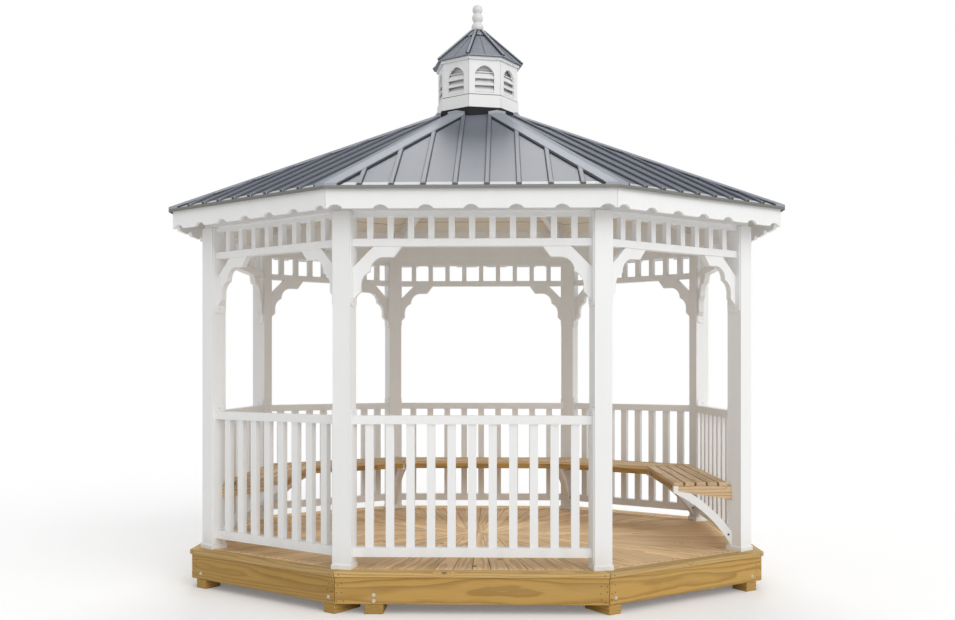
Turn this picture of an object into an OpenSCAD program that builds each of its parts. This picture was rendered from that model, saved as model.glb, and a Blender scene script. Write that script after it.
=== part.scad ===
// Garden gazebo on an eight-sided deck: posts, railings, fretwork, benches, metal roof and louvred cupola.
// Millimetres, +Z up. Origin: centre of the plan at ground level. The long front bay faces -Y.
// The entrance is the open bay between the front and the right side.

/* [Plan] */
// Half width between the post centres of the left and right bays
half_width = 1700; // [1400:10:2200]
// Half depth between the post centres of the front and back bays
half_depth = 1320; // [1100:10:1800]
// Half length of the front and back bays, post centre to bay middle
half_front = 745; // [500:5:900]
// Half length of the left and right bays, post centre to bay middle
half_side = 660; // [450:5:800]

/* [Base] */
// Height of the skid blocks under the rim
skid_height = 58; // [40:1:120]
// Width of a skid block under a slanted bay
skid_width = 89; // [60:1:140]
// Width of the skid block under the front
skid_front = 108; // [60:1:140]
// Length of the skid blocks beside the front and back bays
skid_long = 220; // [140:5:400]
// Length of the skid blocks beside the left and right bays
skid_short = 120; // [90:5:300]
// How far the skid blocks stand behind the face of the rim
skid_back = 3; // [1:1:20]
// Distance from a side corner of the rim to its skid block
skid_inset = 45; // [20:1:120]
// Distance from the front left corner of the rim to the block under the front
skid_offset = 172; // [150:1:400]
// Height of the rim joists
rim_height = 155; // [90:1:240]
// Thickness of one rim joist
rim_thick = 38; // [25:1:60]
// Thickness of the deck boards
deck_thick = 29; // [20:1:60]
// How far the deck edge stands outside the post centres
deck_edge = 137; // [110:1:220]
// How far the deck edge overhangs the rim joists
nosing = 12; // [4:1:40]
// Width of the border boards round the deck
border_width = 92; // [60:1:140]
// Gap between boards where they meet at a corner
mitre = 2; // [1:0.5:5]

/* [Posts] */
// Side of a square post
post_width = 105; // [80:1:140]
// Height of a post above the deck
post_height = 2072; // [1900:1:2600]
// How far the skirt stands out at a post foot
skirt_out = 7; // [3:1:20]
// Height of the skirt at a post foot
skirt_height = 24; // [10:1:60]
// Turn of the two front posts away from the front
turn_front = 13; // [0:1:45]
// Turn of the two side posts nearer the front
turn_side = 39; // [20:1:70]
// Turn of the two side posts nearer the back, from the back
turn_back_side = 70; // [45:1:90]
// Turn of the two back posts away from the back
turn_back = 28; // [0:1:45]

/* [Railings] */
// Top of the handrail above the deck
rail_top = 887; // [700:1:1100]
// Height of the handrail
rail_height = 50; // [30:1:80]
// Width of the handrail and the bottom rail
rail_width = 60; // [40:1:90]
// Clear height under the bottom rail
rail_gap = 68; // [40:1:120]
// Height of the bottom rail
low_rail_height = 54; // [30:1:80]
// Width of one baluster
bar_width = 48; // [25:1:60]
// Depth of one baluster
bar_depth = 34; // [20:1:60]
// Bars in the front bay
bars_front = 11; // [6:1:14]
// Bars in the back bay
bars_back = 9; // [6:1:14]
// Bars in each of the other bays
bars_other = 8; // [5:1:12]

/* [Fretwork] */
// Underside of the fretwork rail below the post tops
fret_drop = 202; // [150:1:260]
// Height of the fretwork rail
head_height = 43; // [25:1:60]
// Depth of the fretwork rails
head_width = 56; // [40:1:90]
// Height of the upper fretwork rail, under the top plate
head_top = 30; // [15:1:50]
// Width of one fretwork spindle
spindle_width = 36; // [20:1:50]
// Reach of a corner brace along the rail
brace_reach = 283; // [270:1:340]
// Drop of a corner brace down the post
brace_drop = 309; // [295:1:360]
// Distance from the corner to the brace along the rail
brace_back = 122; // [90:1:140]
// Thickness of a corner brace
brace_thick = 38; // [20:1:56]
// Height of the slanted end of a brace
brace_nose = 62; // [50:1:75]
// Radius of the two hollows under a brace
brace_hollow = 81; // [72:1:90]

/* [Benches] */
// Top of the bench seat above the deck
seat_top = 434; // [380:1:560]
// Thickness of the seat boards
seat_thick = 25; // [18:1:50]
// Depth of the seat
seat_depth = 350; // [280:1:420]
// Distance from the bay line to the back of the seat
seat_back = 74; // [72:1:110]
// Height of the board under the seat's front edge
apron_height = 36; // [30:1:110]
// Thickness of the board under the seat's front edge
apron_thick = 30; // [20:1:45]
// Thickness of a bench bracket
bracket_thick = 40; // [25:1:60]
// Height of a bracket arm at the post
arm_height = 85; // [60:1:150]
// Height of a bracket arm at its tip
arm_tip = 32; // [25:1:60]
// Height of the strut foot above the deck
strut_foot = 70; // [30:1:140]
// Depth of the curved strut
strut_depth = 50; // [30:1:70]
// Bow of the curved strut
strut_bow = 36; // [20:1:60]

/* [Roof] */
// How far the roof edge stands outside the post centres
eave_out = 254; // [200:1:400]
// Top of the roof edge above the post tops
eave_rise = 108; // [90:1:220]
// Height of the roof point above the roof edge
roof_rise = 880; // [600:1:1200]
// Thickness of the metal sheet, measured upright
sheet_thick = 10; // [6:1:20]
// Thickness of the ceiling boards, measured upright
ceiling_thick = 16; // [8:1:30]
// Outer face of the fascia outside the post centres
fascia_out = 230; // [180:1:300]
// Thickness of the fascia boards
fascia_thick = 20; // [12:1:40]
// Underside of the fascia below the post tops
fascia_drop = 16; // [0:1:80]
// Notches along each side of the fascia
notches = 7; // [4:1:7]
// Distance from a fascia corner to the first notch
notch_end = 54; // [50:1:120]
// Radius of a fascia notch
notch_radius = 52; // [40:1:60]
// Depth of a fascia notch
notch_depth = 22; // [8:1:35]
// Width of the top plate over the posts
plate_width = 100; // [80:1:120]
// Width of one hip rafter
rafter_width = 40; // [30:1:60]
// Depth of one hip rafter, measured upright
rafter_depth = 95; // [60:1:140]
// Ribs up each roof slope
ribs = 8; // [5:1:10]
// Distance from a roof corner to the first rib along the edge
rib_end = 200; // [150:5:260]
// Width of a rib
rib_width = 24; // [14:1:36]
// Height of a rib over the sheet
rib_height = 12; // [8:1:30]
// Gap between a rib and the hip cap or cupola at its top
rib_gap = 3; // [1:1:10]
// Width of a hip cap
cap_width = 132; // [60:1:160]
// Thickness of a hip cap
cap_thick = 14; // [3:1:25]

/* [Cupola] */
// Corner radius of the cupola walls
cupola_radius = 288; // [220:1:340]
// Thickness of the cupola walls
cupola_wall = 18; // [12:1:30]
// Turn of the cupola about the middle
cupola_turn = 12; // [0:1:22]
// Height of the cupola base over the roof in front
base_height = 138; // [60:1:200]
// Height of the louvred walls
cupola_wall_height = 262; // [225:1:340]
// How far the base stands outside the walls
base_out = 8; // [4:1:20]
// Width of an arched opening
arch_width = 134; // [90:1:160]
// Height of the upright sides of an arched opening
arch_spring = 132; // [100:1:150]
// Rise of the pointed arch over its sides
arch_rise = 54; // [40:1:60]
// Radius of the two sides of the arch
arch_radius = 95; // [80:1:130]
// Sill of an arched opening above the base
arch_sill = 20; // [10:1:45]
// Louvres in each opening
louvers = 4; // [3:1:5]
// Reach of a louvre behind the wall
louver_reach = 34; // [20:1:50]
// Rise of a louvre
louver_rise = 24; // [12:1:30]
// Thickness of a louvre
louver_thick = 7; // [4:1:10]
// Corner radius of the cupola roof edge
cupola_eave = 322; // [310:1:420]
// Thickness of the cupola roof edge
cupola_edge = 8; // [4:1:30]
// Height of the cupola roof above its edge
cupola_rise = 254; // [160:1:320]
// Corner radius of the flat under the finial
cupola_flat = 40; // [34:1:60]

/* [Finial] */
// Radius of the lowest ball
ball_low = 43; // [36:1:55]
// Radius of the middle ball
ball_mid = 39; // [30:1:50]
// Radius of the top ball
ball_top = 36; // [24:1:45]
// How far one ball sinks into the next, and the lowest into the roof
ball_sink = 15; // [8:1:20]

/* [Hidden] */
$fn = 64;
// Colours of the finishes
WHITE = [0.93, 0.93, 0.92];
PINE = [0.74, 0.55, 0.30];
METAL = [0.62, 0.64, 0.68];
// Plan corners, anticlockwise from the front left
CORNERS = [
    [-half_front, -half_depth], [half_front, -half_depth],
    [half_width, -half_side], [half_width, half_side],
    [half_front, half_depth], [-half_front, half_depth],
    [-half_width, half_side], [-half_width, -half_side]];
SIDES = len(CORNERS);
LAST = SIDES - 1;
TURNS = [
    -90 - turn_front, -90 + turn_front, -90 + turn_side, 90 - turn_back_side,
    90 - turn_back, 90 + turn_back, 90 + turn_back_side, -90 - turn_side];
BARS = [
    bars_front, bars_other, bars_other, bars_other,
    bars_back, bars_other, bars_other, bars_other];
// Heights above the ground
rim_z = skid_height;
board_z = rim_z + rim_height;
deck_z = board_z + deck_thick;
plate_z = deck_z + post_height;
eave_z = plate_z + eave_rise;
apex_z = eave_z + roof_rise;
head_z = plate_z - fret_drop;
head_top_z = plate_z - head_top;
rim_edge = deck_edge - nosing;
floor_edge = deck_edge - border_width;
fascia_in = fascia_out - fascia_thick;
half_plate = plate_width / 2;
half_post = post_width / 2;
face_turn = 180 / SIDES;
cupola_angle = cupola_turn + face_turn;
base_face = (cupola_radius + base_out) * cos(face_turn);
cupola_z = apex_z - base_face * roof_rise / (half_depth + eave_out) + base_height;
cupola_top_z = cupola_z + cupola_wall_height;
cupola_bore = cupola_radius - cupola_wall / cos(face_turn);
reach = half_width + half_depth + apex_z;

// Number of the next corner round the plan
function after(k) = (k + 1) % SIDES;
// Number of the corner before
function before(k) = (k + LAST) % SIDES;
// Heading of a bay from its first corner to its second
function heading(k) = atan2(
    CORNERS[after(k)][1] - CORNERS[k][1],
    CORNERS[after(k)][0] - CORNERS[k][0]);
// Direction of a bay from its first corner to its second
function along(k) = [cos(heading(k)), sin(heading(k))];
// Length of a bay between post centres
function bay_length(k) = norm(CORNERS[after(k)] - CORNERS[k]);
// Outward direction of a bay
function outward(k) = [sin(heading(k)), -cos(heading(k))];
// Distance from the middle of the plan to a bay line
function bay_distance(k) = CORNERS[k] * outward(k);
// Corner of the plan moved out by a distance square to both bays
function corner_out(j, out) = CORNERS[j]
    + out * (outward(before(j)) + outward(j)) / (1 + outward(before(j)) * outward(j));
// The whole plan moved out by a distance
function plan_out(out) = [for (j = [0 : LAST]) corner_out(j, out)];
// How far the rim runs on past a post centre, along either bay of its corner
function rim_over(j) = (CORNERS[j] - corner_out(j, rim_edge)) * along(j);
// Heading of a hip from the middle of the plan
function hip_heading(j) = atan2(corner_out(j, eave_out)[1], corner_out(j, eave_out)[0]);
// Slope of the roof over a bay
function roof_slope(k) = atan((apex_z - eave_z) / (bay_distance(k) + eave_out));

// Upright block with the outline of the plan
module plan_block(out, low, height) {
    translate([0, 0, low])
        linear_extrude(height)
            polygon(plan_out(out));
}

// Boards set on edge or flat round the plan, with a gap at each corner
module plan_boards(out, width, low, height) {
    translate([0, 0, low])
        linear_extrude(height)
            difference() {
                polygon(plan_out(out));
                polygon(plan_out(out - width));
                for (j = [0 : LAST])
                    corner_gap(j, out, width);
            }
}

// Narrow gap across a corner of the plan
module corner_gap(j, out, width) {
    across = outward(before(j)) + outward(j);
    translate(corner_out(j, out - width / 2))
        rotate(atan2(across[1], across[0]))
            square([4 * width, mitre], center = true);
}

// Narrow upright gaps along the hips
module hip_gaps() {
    for (j = [0 : LAST])
        rotate([0, 0, hip_heading(j)])
            translate([0, -mitre / 2, plate_z])
                cube([reach, mitre, apex_z]);
}

// Upright strips along the hips, starting at a distance from the middle
module hip_strips(start, width) {
    for (j = [0 : LAST])
        rotate([0, 0, hip_heading(j)])
            translate([start, -width / 2, plate_z])
                cube([reach, width, apex_z - plate_z]);
}

// Everything under the roof surface lowered by a drop
module under_roof(drop) {
    intersection_for(k = [0 : LAST])
        rotate([0, 0, heading(k)])
            translate([0, -bay_distance(k) - eave_out, eave_z - drop])
                rotate([roof_slope(k), 0, 0])
                    translate([-reach, -reach, -reach])
                        cube([2 * reach, 3 * reach, reach]);
}

// Places children at the first corner of a bay, x along it and y inward
module at_bay(k) {
    translate([CORNERS[k][0], CORNERS[k][1], 0])
        rotate([0, 0, heading(k)])
            children();
}

// Square post blank at a corner, over a height
module post_blank(j, side, low, height) {
    translate([CORNERS[j][0], CORNERS[j][1], low])
        rotate([0, 0, TURNS[j]])
            translate([-side / 2, -side / 2, 0])
                cube([side, side, height]);
}

// One post with its skirt
module post(j) {
    color(WHITE)
        union() {
            post_blank(j, post_width, deck_z, post_height);
            post_blank(j, post_width + 2 * skirt_out, deck_z, skirt_height);
        }
}

// Space taken by the two posts of a bay
module bay_posts(k) {
    for (j = [k, after(k)])
        post_blank(j, post_width, deck_z, post_height + half_post);
}

// Level rail along a bay
module bay_rail(k, width, low, height) {
    at_bay(k)
        translate([0, -width / 2, low])
            cube([bay_length(k), width, height]);
}

// Upright bars along a bay, with equal gaps between the posts
module bay_bars(k, count, width, depth, low, height) {
    clear = bay_length(k) - post_width;
    gap = (clear - count * width) / (count + 1);
    at_bay(k)
        for (i = [0 : count - 1])
            translate([half_post + gap + i * (width + gap), -depth / 2, low])
                cube([width, depth, height]);
}

// One railing panel
module railing(k) {
    low_z = deck_z + rail_gap;
    top_z = deck_z + rail_top;
    color(WHITE)
        difference() {
            union() {
                bay_rail(k, rail_width, low_z, low_rail_height);
                bay_rail(k, rail_width, top_z - rail_height, rail_height);
                bay_bars(k, BARS[k], bar_width, bar_depth, low_z, rail_top - rail_gap);
            }
            bay_posts(k);
        }
}

// One fretwork panel under the roof
module fret(k) {
    color(WHITE)
        difference() {
            union() {
                bay_rail(k, head_width, head_z, head_height);
                bay_rail(k, head_width, head_top_z, head_top);
                bay_bars(k, BARS[k], spindle_width, spindle_width, head_z, plate_z - head_z);
            }
            bay_posts(k);
        }
}

// Side view of a brace: x from the post face, y up from the rail underside
module brace_shape() {
    slant = 3 * brace_nose / 4;
    step = brace_reach - slant;
    upper = [step - brace_hollow * 0.7, -brace_nose - brace_hollow];
    lower = [slant + brace_hollow, -brace_drop + slant + brace_hollow / 2];
    difference() {
        polygon([
            [brace_back, 0], [brace_reach, 0], [step, -brace_nose],
            [upper[0], -brace_nose], [slant, lower[1]], [slant, -brace_drop + slant],
            [0, -brace_drop], [0, -brace_back]]);
        translate(upper)
            circle(r = brace_hollow);
        translate(lower)
            circle(r = brace_hollow);
    }
}

// One brace from a post to the rail of a bay
module brace(k, from_end) {
    at_bay(k)
        translate([from_end ? bay_length(k) : 0, brace_thick / 2, head_z])
            mirror([from_end ? 1 : 0, 0, 0])
                translate([half_post, 0, 0])
                    rotate([90, 0, 0])
                        linear_extrude(brace_thick)
                            union() {
                                brace_shape();
                                translate([-half_post, -brace_drop])
                                    square([half_post, brace_drop - brace_back]);
                            }
}

// All corner braces
module corner_braces() {
    color(WHITE)
        for (k = [0 : LAST])
            difference() {
                union() {
                    brace(k, false);
                    brace(k, true);
                }
                bay_posts(k);
            }
}

// Whether the seats end at a post
function seat_ends(j) = j == 2 || j == LAST;
// Bay of the seat that starts at a post, or ends at the last one
function seat_bay(j) = min(j, LAST - 1);
// Outward direction of a bracket: square to its bay at the ends of the seats, else midway between two bays
function bracket_way(j) = let (between = outward(before(j)) + outward(j))
    seat_ends(j) ? outward(seat_bay(j)) : between / norm(between);
// Length of a bracket from its post centre to the front of the seats
function bracket_span(j) = (seat_back + seat_depth) / (bracket_way(j) * outward(seat_bay(j)));
// Point on the line of a bracket, at an inset from the line of a bay
function seat_corner(j, k, inset) = CORNERS[j] - bracket_way(j) * inset / (bracket_way(j) * outward(k));
// How far a seat runs on past the line of a bracket
function seat_over(j) = seat_ends(j) ? bracket_thick / 2 : 0;

// One bench seat with the board under its front edge
module bench(k) {
    front = seat_back + seat_depth;
    low_z = deck_z + seat_top - seat_thick;
    first = seat_over(k) * along(k);
    last = seat_over(after(k)) * along(k);
    tips = [seat_corner(k, k, front), seat_corner(after(k), k, front)];
    inset = bracket_thick + apron_thick / 2;
    start = (tips[0] - CORNERS[k]) * along(k) + inset;
    apron = norm(tips[1] - tips[0]) - 2 * inset;
    color(PINE)
        union() {
            translate([0, 0, low_z])
                linear_extrude(seat_thick)
                    polygon([
                        seat_corner(k, k, seat_back) - first, seat_corner(after(k), k, seat_back) + last,
                        tips[1] + last, tips[0] - first]);
            at_bay(k)
                translate([start, front - apron_thick, low_z - apron_height])
                    cube([apron, apron_thick, apron_height + seat_thick]);
        }
}

// Side view of a bench bracket: x inward from the post face, y up from the deck
module bracket_shape(span) {
    length = span - half_post;
    top = seat_top - seat_thick;
    rise = top - strut_foot - arm_tip / 2;
    chord = norm([length, rise]);
    radius = chord * chord / (8 * strut_bow) + strut_bow / 2;
    along = [length, rise] / chord;
    middle = [length / 2, strut_foot + rise / 2]
        + [along[1], -along[0]] * (radius - strut_bow);
    polygon([[0, top], [length, top], [length, top - arm_tip], [0, top - arm_height]]);
    intersection() {
        difference() {
            translate(middle) circle(r = radius + strut_depth / 2);
            translate(middle) circle(r = radius - strut_depth / 2);
        }
        translate([-half_post / 2, strut_foot - strut_depth])
            square([length + half_post / 2, top - strut_foot + strut_depth]);
    }
}

// One bracket under the benches at a post
module bracket(j) {
    way = bracket_way(j);
    translate([CORNERS[j][0], CORNERS[j][1], deck_z])
        rotate([0, 0, atan2(-way[1], -way[0])])
            translate([0, bracket_thick / 2, 0])
                rotate([90, 0, 0])
                    linear_extrude(bracket_thick)
                        union() {
                            translate([half_post, 0])
                                bracket_shape(bracket_span(j));
                            translate([0, seat_top - seat_thick - arm_height])
                                square([half_post, arm_height]);
                        }
}

// All bench brackets
module bench_brackets() {
    color(WHITE)
        for (j = [2 : LAST])
            difference() {
                bracket(j);
                post_blank(j, post_width, deck_z, post_height);
            }
}

// Skid block under the rim of a bay, at a distance from the bay's first post
module skid(k, start, width, length) {
    at_bay(k)
        translate([start, skid_back - rim_edge, 0])
            cube([width, length, skid_height]);
}

// Skid blocks at both ends of the slanted bays, and one under the front
module skids() {
    color(PINE) {
        for (k = [1, 5]) {
            far = bay_length(k) + rim_over(after(k)) - skid_inset - skid_width;
            skid(k, -rim_over(k), skid_width, skid_long);
            skid(k, far, skid_width, skid_short);
        }
        for (k = [3, 7]) {
            far = bay_length(k) + rim_over(after(k)) - skid_width;
            skid(k, skid_inset - rim_over(k), skid_width, skid_short);
            skid(k, far, skid_width, skid_long);
        }
        skid(0, skid_offset - rim_over(0), skid_front, skid_long);
    }
}

// Rim joists round the base
module rim_joists() {
    color(PINE)
        plan_boards(rim_edge, rim_thick, rim_z, rim_height);
}

// Border boards round the deck
module deck_border() {
    color(PINE)
        plan_boards(deck_edge, border_width, board_z, deck_thick);
}

// Deck floor inside the border
module deck_floor() {
    color(PINE)
        plan_block(floor_edge, board_z, deck_thick);
}

// Top plates over the posts, up to the ceiling
module top_plates() {
    color(WHITE)
        intersection() {
            plan_boards(half_plate, plate_width, plate_z, apex_z - plate_z);
            under_roof(sheet_thick + ceiling_thick);
        }
}

// Hip rafters inside the top plates, under the ceiling
module hip_rafters() {
    drop = sheet_thick + ceiling_thick;
    color(WHITE)
        difference() {
            intersection() {
                hip_strips(3 * rafter_width / 2, rafter_width);
                plan_block(-half_plate, plate_z, apex_z - plate_z);
                under_roof(drop);
            }
            under_roof(drop + rafter_depth);
        }
}

// Ceiling boards under the metal sheet
module ceiling() {
    color(WHITE)
        difference() {
            intersection() {
                under_roof(sheet_thick);
                plan_block(fascia_in, plate_z, apex_z - plate_z);
            }
            under_roof(sheet_thick + ceiling_thick);
            hip_gaps();
        }
}

// Metal roof sheet with raised ribs
module roof_sheet() {
    color(METAL)
        difference() {
            union() {
                intersection() {
                    under_roof(0);
                    plan_block(eave_out, plate_z, apex_z - plate_z);
                }
                for (k = [0 : LAST])
                    roof_ribs(k);
            }
            under_roof(sheet_thick);
            hip_gaps();
        }
}

// Ribs straight up one slope, cut at the roof edge, the hip caps and the cupola
module roof_ribs(k) {
    edge = norm(corner_out(after(k), eave_out) - corner_out(k, eave_out));
    pitch = (edge - 2 * rib_end) / (ribs - 1);
    first = corner_out(k, eave_out) * along(k) + rib_end;
    difference() {
        intersection() {
            rotate([0, 0, heading(k)])
                translate([first, -bay_distance(k) - eave_out, eave_z])
                    rotate([roof_slope(k), 0, 0])
                        for (i = [0 : ribs - 1])
                            translate([i * pitch - rib_width / 2, -rib_height, -sheet_thick / 2])
                                cube([rib_width, reach, rib_height + sheet_thick / 2]);
            translate([0, 0, plate_z])
                linear_extrude(apex_z)
                    polygon([[0, 0], corner_out(k, eave_out), corner_out(after(k), eave_out)]);
        }
        hip_strips(0, cap_width + 2 * rib_gap);
        cupola_block(cupola_radius + base_out + rib_gap, plate_z, apex_z);
    }
}

// Metal caps over the hips
module hip_caps() {
    color(METAL)
        difference() {
            intersection() {
                under_roof(-cap_thick);
                plan_block(eave_out, plate_z, apex_z - plate_z);
                hip_strips(cupola_radius + 2 * base_out, cap_width);
            }
            under_roof(0);
        }
}

// Fascia with notches along its lower edge
module fascia() {
    low_z = plate_z - fascia_drop;
    color(WHITE)
        intersection() {
            difference() {
                plan_boards(fascia_out, fascia_thick, low_z, apex_z - low_z);
                for (k = [0 : LAST])
                    fascia_notches(k, low_z);
            }
            under_roof(sheet_thick);
        }
}

// Notches under one side of the fascia
module fascia_notches(k, low_z) {
    side = norm(corner_out(after(k), fascia_out) - corner_out(k, fascia_out));
    pitch = (side - 2 * notch_end) / (notches - 1);
    start = corner_out(k, fascia_out);
    translate([start[0], start[1], low_z + notch_depth - notch_radius])
        rotate([0, 0, heading(k)])
            for (i = [0 : notches - 1])
                translate([notch_end + i * pitch, 2 * fascia_thick, 0])
                    rotate([90, 0, 0])
                        cylinder(h = 3 * fascia_thick, r = notch_radius);
}

// Eight-sided upright block about the middle of the cupola
module cupola_block(radius, low, height) {
    translate([0, 0, low])
        rotate([0, 0, cupola_angle])
            cylinder(h = height, r = radius, $fn = SIDES);
}

// Narrow upright gaps at the corners of the cupola
module cupola_gaps() {
    for (i = [0 : LAST])
        rotate([0, 0, cupola_angle + i * 2 * face_turn])
            translate([0, -mitre / 2, eave_z])
                cube([2 * cupola_eave, mitre, apex_z]);
}

// Plain base of the cupola, cut to the roof
module cupola_base() {
    low_z = eave_z;
    color(WHITE)
        difference() {
            cupola_block(cupola_radius + base_out, low_z, cupola_z - low_z);
            cupola_block(cupola_bore, low_z, cupola_z);
            under_roof(0);
            cupola_gaps();
        }
}

// Outline of an arched opening, sill middle at the origin
module arch_shape() {
    half = arch_width / 2;
    chord = norm([half, arch_rise]);
    back = sqrt(arch_radius * arch_radius - chord * chord / 4);
    aside = back * arch_rise / chord - half / 2;
    below = back * half / chord - arch_rise / 2;
    translate([-half, 0])
        square([arch_width, arch_spring]);
    intersection() {
        translate([-aside, arch_spring - below])
            circle(r = arch_radius);
        translate([aside, arch_spring - below])
            circle(r = arch_radius);
        translate([-half, arch_spring / 2])
            square([arch_width, arch_spring / 2 + arch_rise]);
    }
}

// Cupola walls with an arched opening in each
module cupola_walls() {
    color(WHITE)
        difference() {
            cupola_block(cupola_radius, cupola_z, cupola_wall_height);
            cupola_block(cupola_bore, cupola_z, cupola_wall_height);
            for (i = [0 : LAST])
                rotate([0, 0, cupola_turn + i * 2 * face_turn])
                    translate([0, 0, cupola_z + arch_sill])
                        rotate([90, 0, 0])
                            linear_extrude(cupola_radius)
                                arch_shape();
            cupola_gaps();
        }
}

// Sloping louvres inside the cupola walls
module cupola_louvers() {
    pitch = (arch_spring + arch_rise - louver_rise) / louvers;
    inner = cupola_bore - louver_reach;
    color(WHITE)
        for (i = [0 : louvers - 1])
            translate([0, 0, cupola_z + arch_sill + i * pitch])
                rotate([0, 0, cupola_angle])
                    difference() {
                        union() {
                            cylinder(h = louver_thick, r = cupola_bore, $fn = SIDES);
                            translate([0, 0, louver_thick])
                                cylinder(h = louver_rise, r1 = cupola_bore, r2 = inner, $fn = SIDES);
                        }
                        cylinder(h = louver_rise, r1 = cupola_bore, r2 = inner, $fn = SIDES);
                        translate([0, 0, louver_thick])
                            cylinder(h = louver_rise, r = inner, $fn = SIDES);
                    }
}

// Metal roof of the cupola
module cupola_roof() {
    foot = cupola_eave + cupola_edge * (cupola_eave - cupola_flat) / cupola_rise;
    color(METAL)
        difference() {
            intersection() {
                cupola_block(cupola_eave, cupola_top_z, cupola_edge + cupola_rise);
                translate([0, 0, cupola_top_z])
                    rotate([0, 0, cupola_angle])
                        cylinder(h = cupola_edge + cupola_rise, r1 = foot, r2 = cupola_flat, $fn = SIDES);
            }
            translate([0, 0, cupola_top_z])
                rotate([0, 0, cupola_angle])
                    cylinder(h = cupola_rise, r1 = cupola_bore, r2 = cupola_flat / 2, $fn = SIDES);
            cupola_gaps();
        }
}

// Stack of balls on the cupola
module finial() {
    seat_z = cupola_top_z + cupola_edge + cupola_rise;
    low_z = seat_z + ball_low - ball_sink;
    mid_z = low_z + ball_low + ball_mid - ball_sink;
    top_z = mid_z + ball_mid + ball_top - ball_sink;
    color(WHITE)
        union() {
            intersection() {
                translate([0, 0, low_z])
                    sphere(r = ball_low);
                translate([0, 0, seat_z])
                    cylinder(h = 2 * ball_low, r = 2 * ball_low);
            }
            translate([0, 0, mid_z])
                sphere(r = ball_mid);
            translate([0, 0, top_z])
                sphere(r = ball_top);
        }
}

skids();
rim_joists();
deck_border();
deck_floor();
post(0);  // post_front_left
post(1);  // post_front_right
post(2);  // post_right_front
post(3);  // post_right_back
post(4);  // post_back_right
post(5);  // post_back_left
post(6);  // post_left_back
post(7);  // post_left_front
railing(0);  // railing_front
railing(2);  // railing_right
railing(3);  // railing_back_right
railing(4);  // railing_back
railing(5);  // railing_back_left
railing(6);  // railing_left
railing(7);  // railing_left_front
fret(0);  // fret_front
fret(1);  // fret_entrance
fret(2);  // fret_right
fret(3);  // fret_back_right
fret(4);  // fret_back
fret(5);  // fret_back_left
fret(6);  // fret_left
fret(7);  // fret_left_front
corner_braces();
bench(2);  // bench_right
bench(3);  // bench_back_right
bench(4);  // bench_back
bench(5);  // bench_back_left
bench(6);  // bench_left
bench_brackets();
top_plates();
hip_rafters();
ceiling();
roof_sheet();
hip_caps();
fascia();
cupola_base();
cupola_walls();
cupola_louvers();
cupola_roof();
finial();
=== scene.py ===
"""Looks of an eight-sided garden gazebo: its boards, roof metal, trim, finishes and a plain studio.

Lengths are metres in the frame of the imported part: +Z up, the long front bay towards -Y.
"""

import logging
import math
import random
from abc import ABC, abstractmethod
from dataclasses import dataclass, field
from enum import Enum
from typing import Sequence

import bmesh
import bpy
from mathutils import Matrix, Vector


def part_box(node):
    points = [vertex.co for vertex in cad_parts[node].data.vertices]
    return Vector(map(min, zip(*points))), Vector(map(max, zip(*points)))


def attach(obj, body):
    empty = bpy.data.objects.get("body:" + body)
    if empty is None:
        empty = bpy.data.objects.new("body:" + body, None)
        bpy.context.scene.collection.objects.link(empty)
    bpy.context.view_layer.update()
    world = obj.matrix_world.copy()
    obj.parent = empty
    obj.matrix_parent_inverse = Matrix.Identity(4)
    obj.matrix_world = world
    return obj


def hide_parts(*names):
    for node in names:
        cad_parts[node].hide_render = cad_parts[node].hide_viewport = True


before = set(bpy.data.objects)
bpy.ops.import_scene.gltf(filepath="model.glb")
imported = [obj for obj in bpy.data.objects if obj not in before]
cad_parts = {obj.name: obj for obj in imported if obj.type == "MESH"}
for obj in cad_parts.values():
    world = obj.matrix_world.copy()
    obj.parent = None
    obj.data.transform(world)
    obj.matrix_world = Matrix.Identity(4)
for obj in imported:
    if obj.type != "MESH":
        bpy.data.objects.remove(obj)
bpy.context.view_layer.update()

Colour = tuple[float, float, float]
LOG = logging.getLogger("gazebo")
UP = Vector((0.0, 0.0, 1.0))
SIDES = 8
POSTS = (
    "post_front_left", "post_front_right", "post_right_front", "post_right_back",
    "post_back_right", "post_back_left", "post_left_back", "post_left_front")


class Bay(Enum):
    """The bays of the plan, numbered from the corner where each starts."""

    FRONT = 0
    ENTRANCE = 1
    RIGHT = 2
    BACK_RIGHT = 3
    BACK = 4
    BACK_LEFT = 5
    LEFT = 6
    LEFT_FRONT = 7

    @property
    def railed(self) -> bool:
        """Whether a railing closes the bay."""
        return self is not Bay.ENTRANCE

    @property
    def seated(self) -> bool:
        """Whether a bench runs along the bay."""
        return self not in (Bay.FRONT, Bay.ENTRANCE, Bay.LEFT_FRONT)


class Slot(Enum):
    """Material slots of the part's record."""

    TRIM = "white_trim"
    PINE = "pine"
    METAL = "roof_metal"


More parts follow.
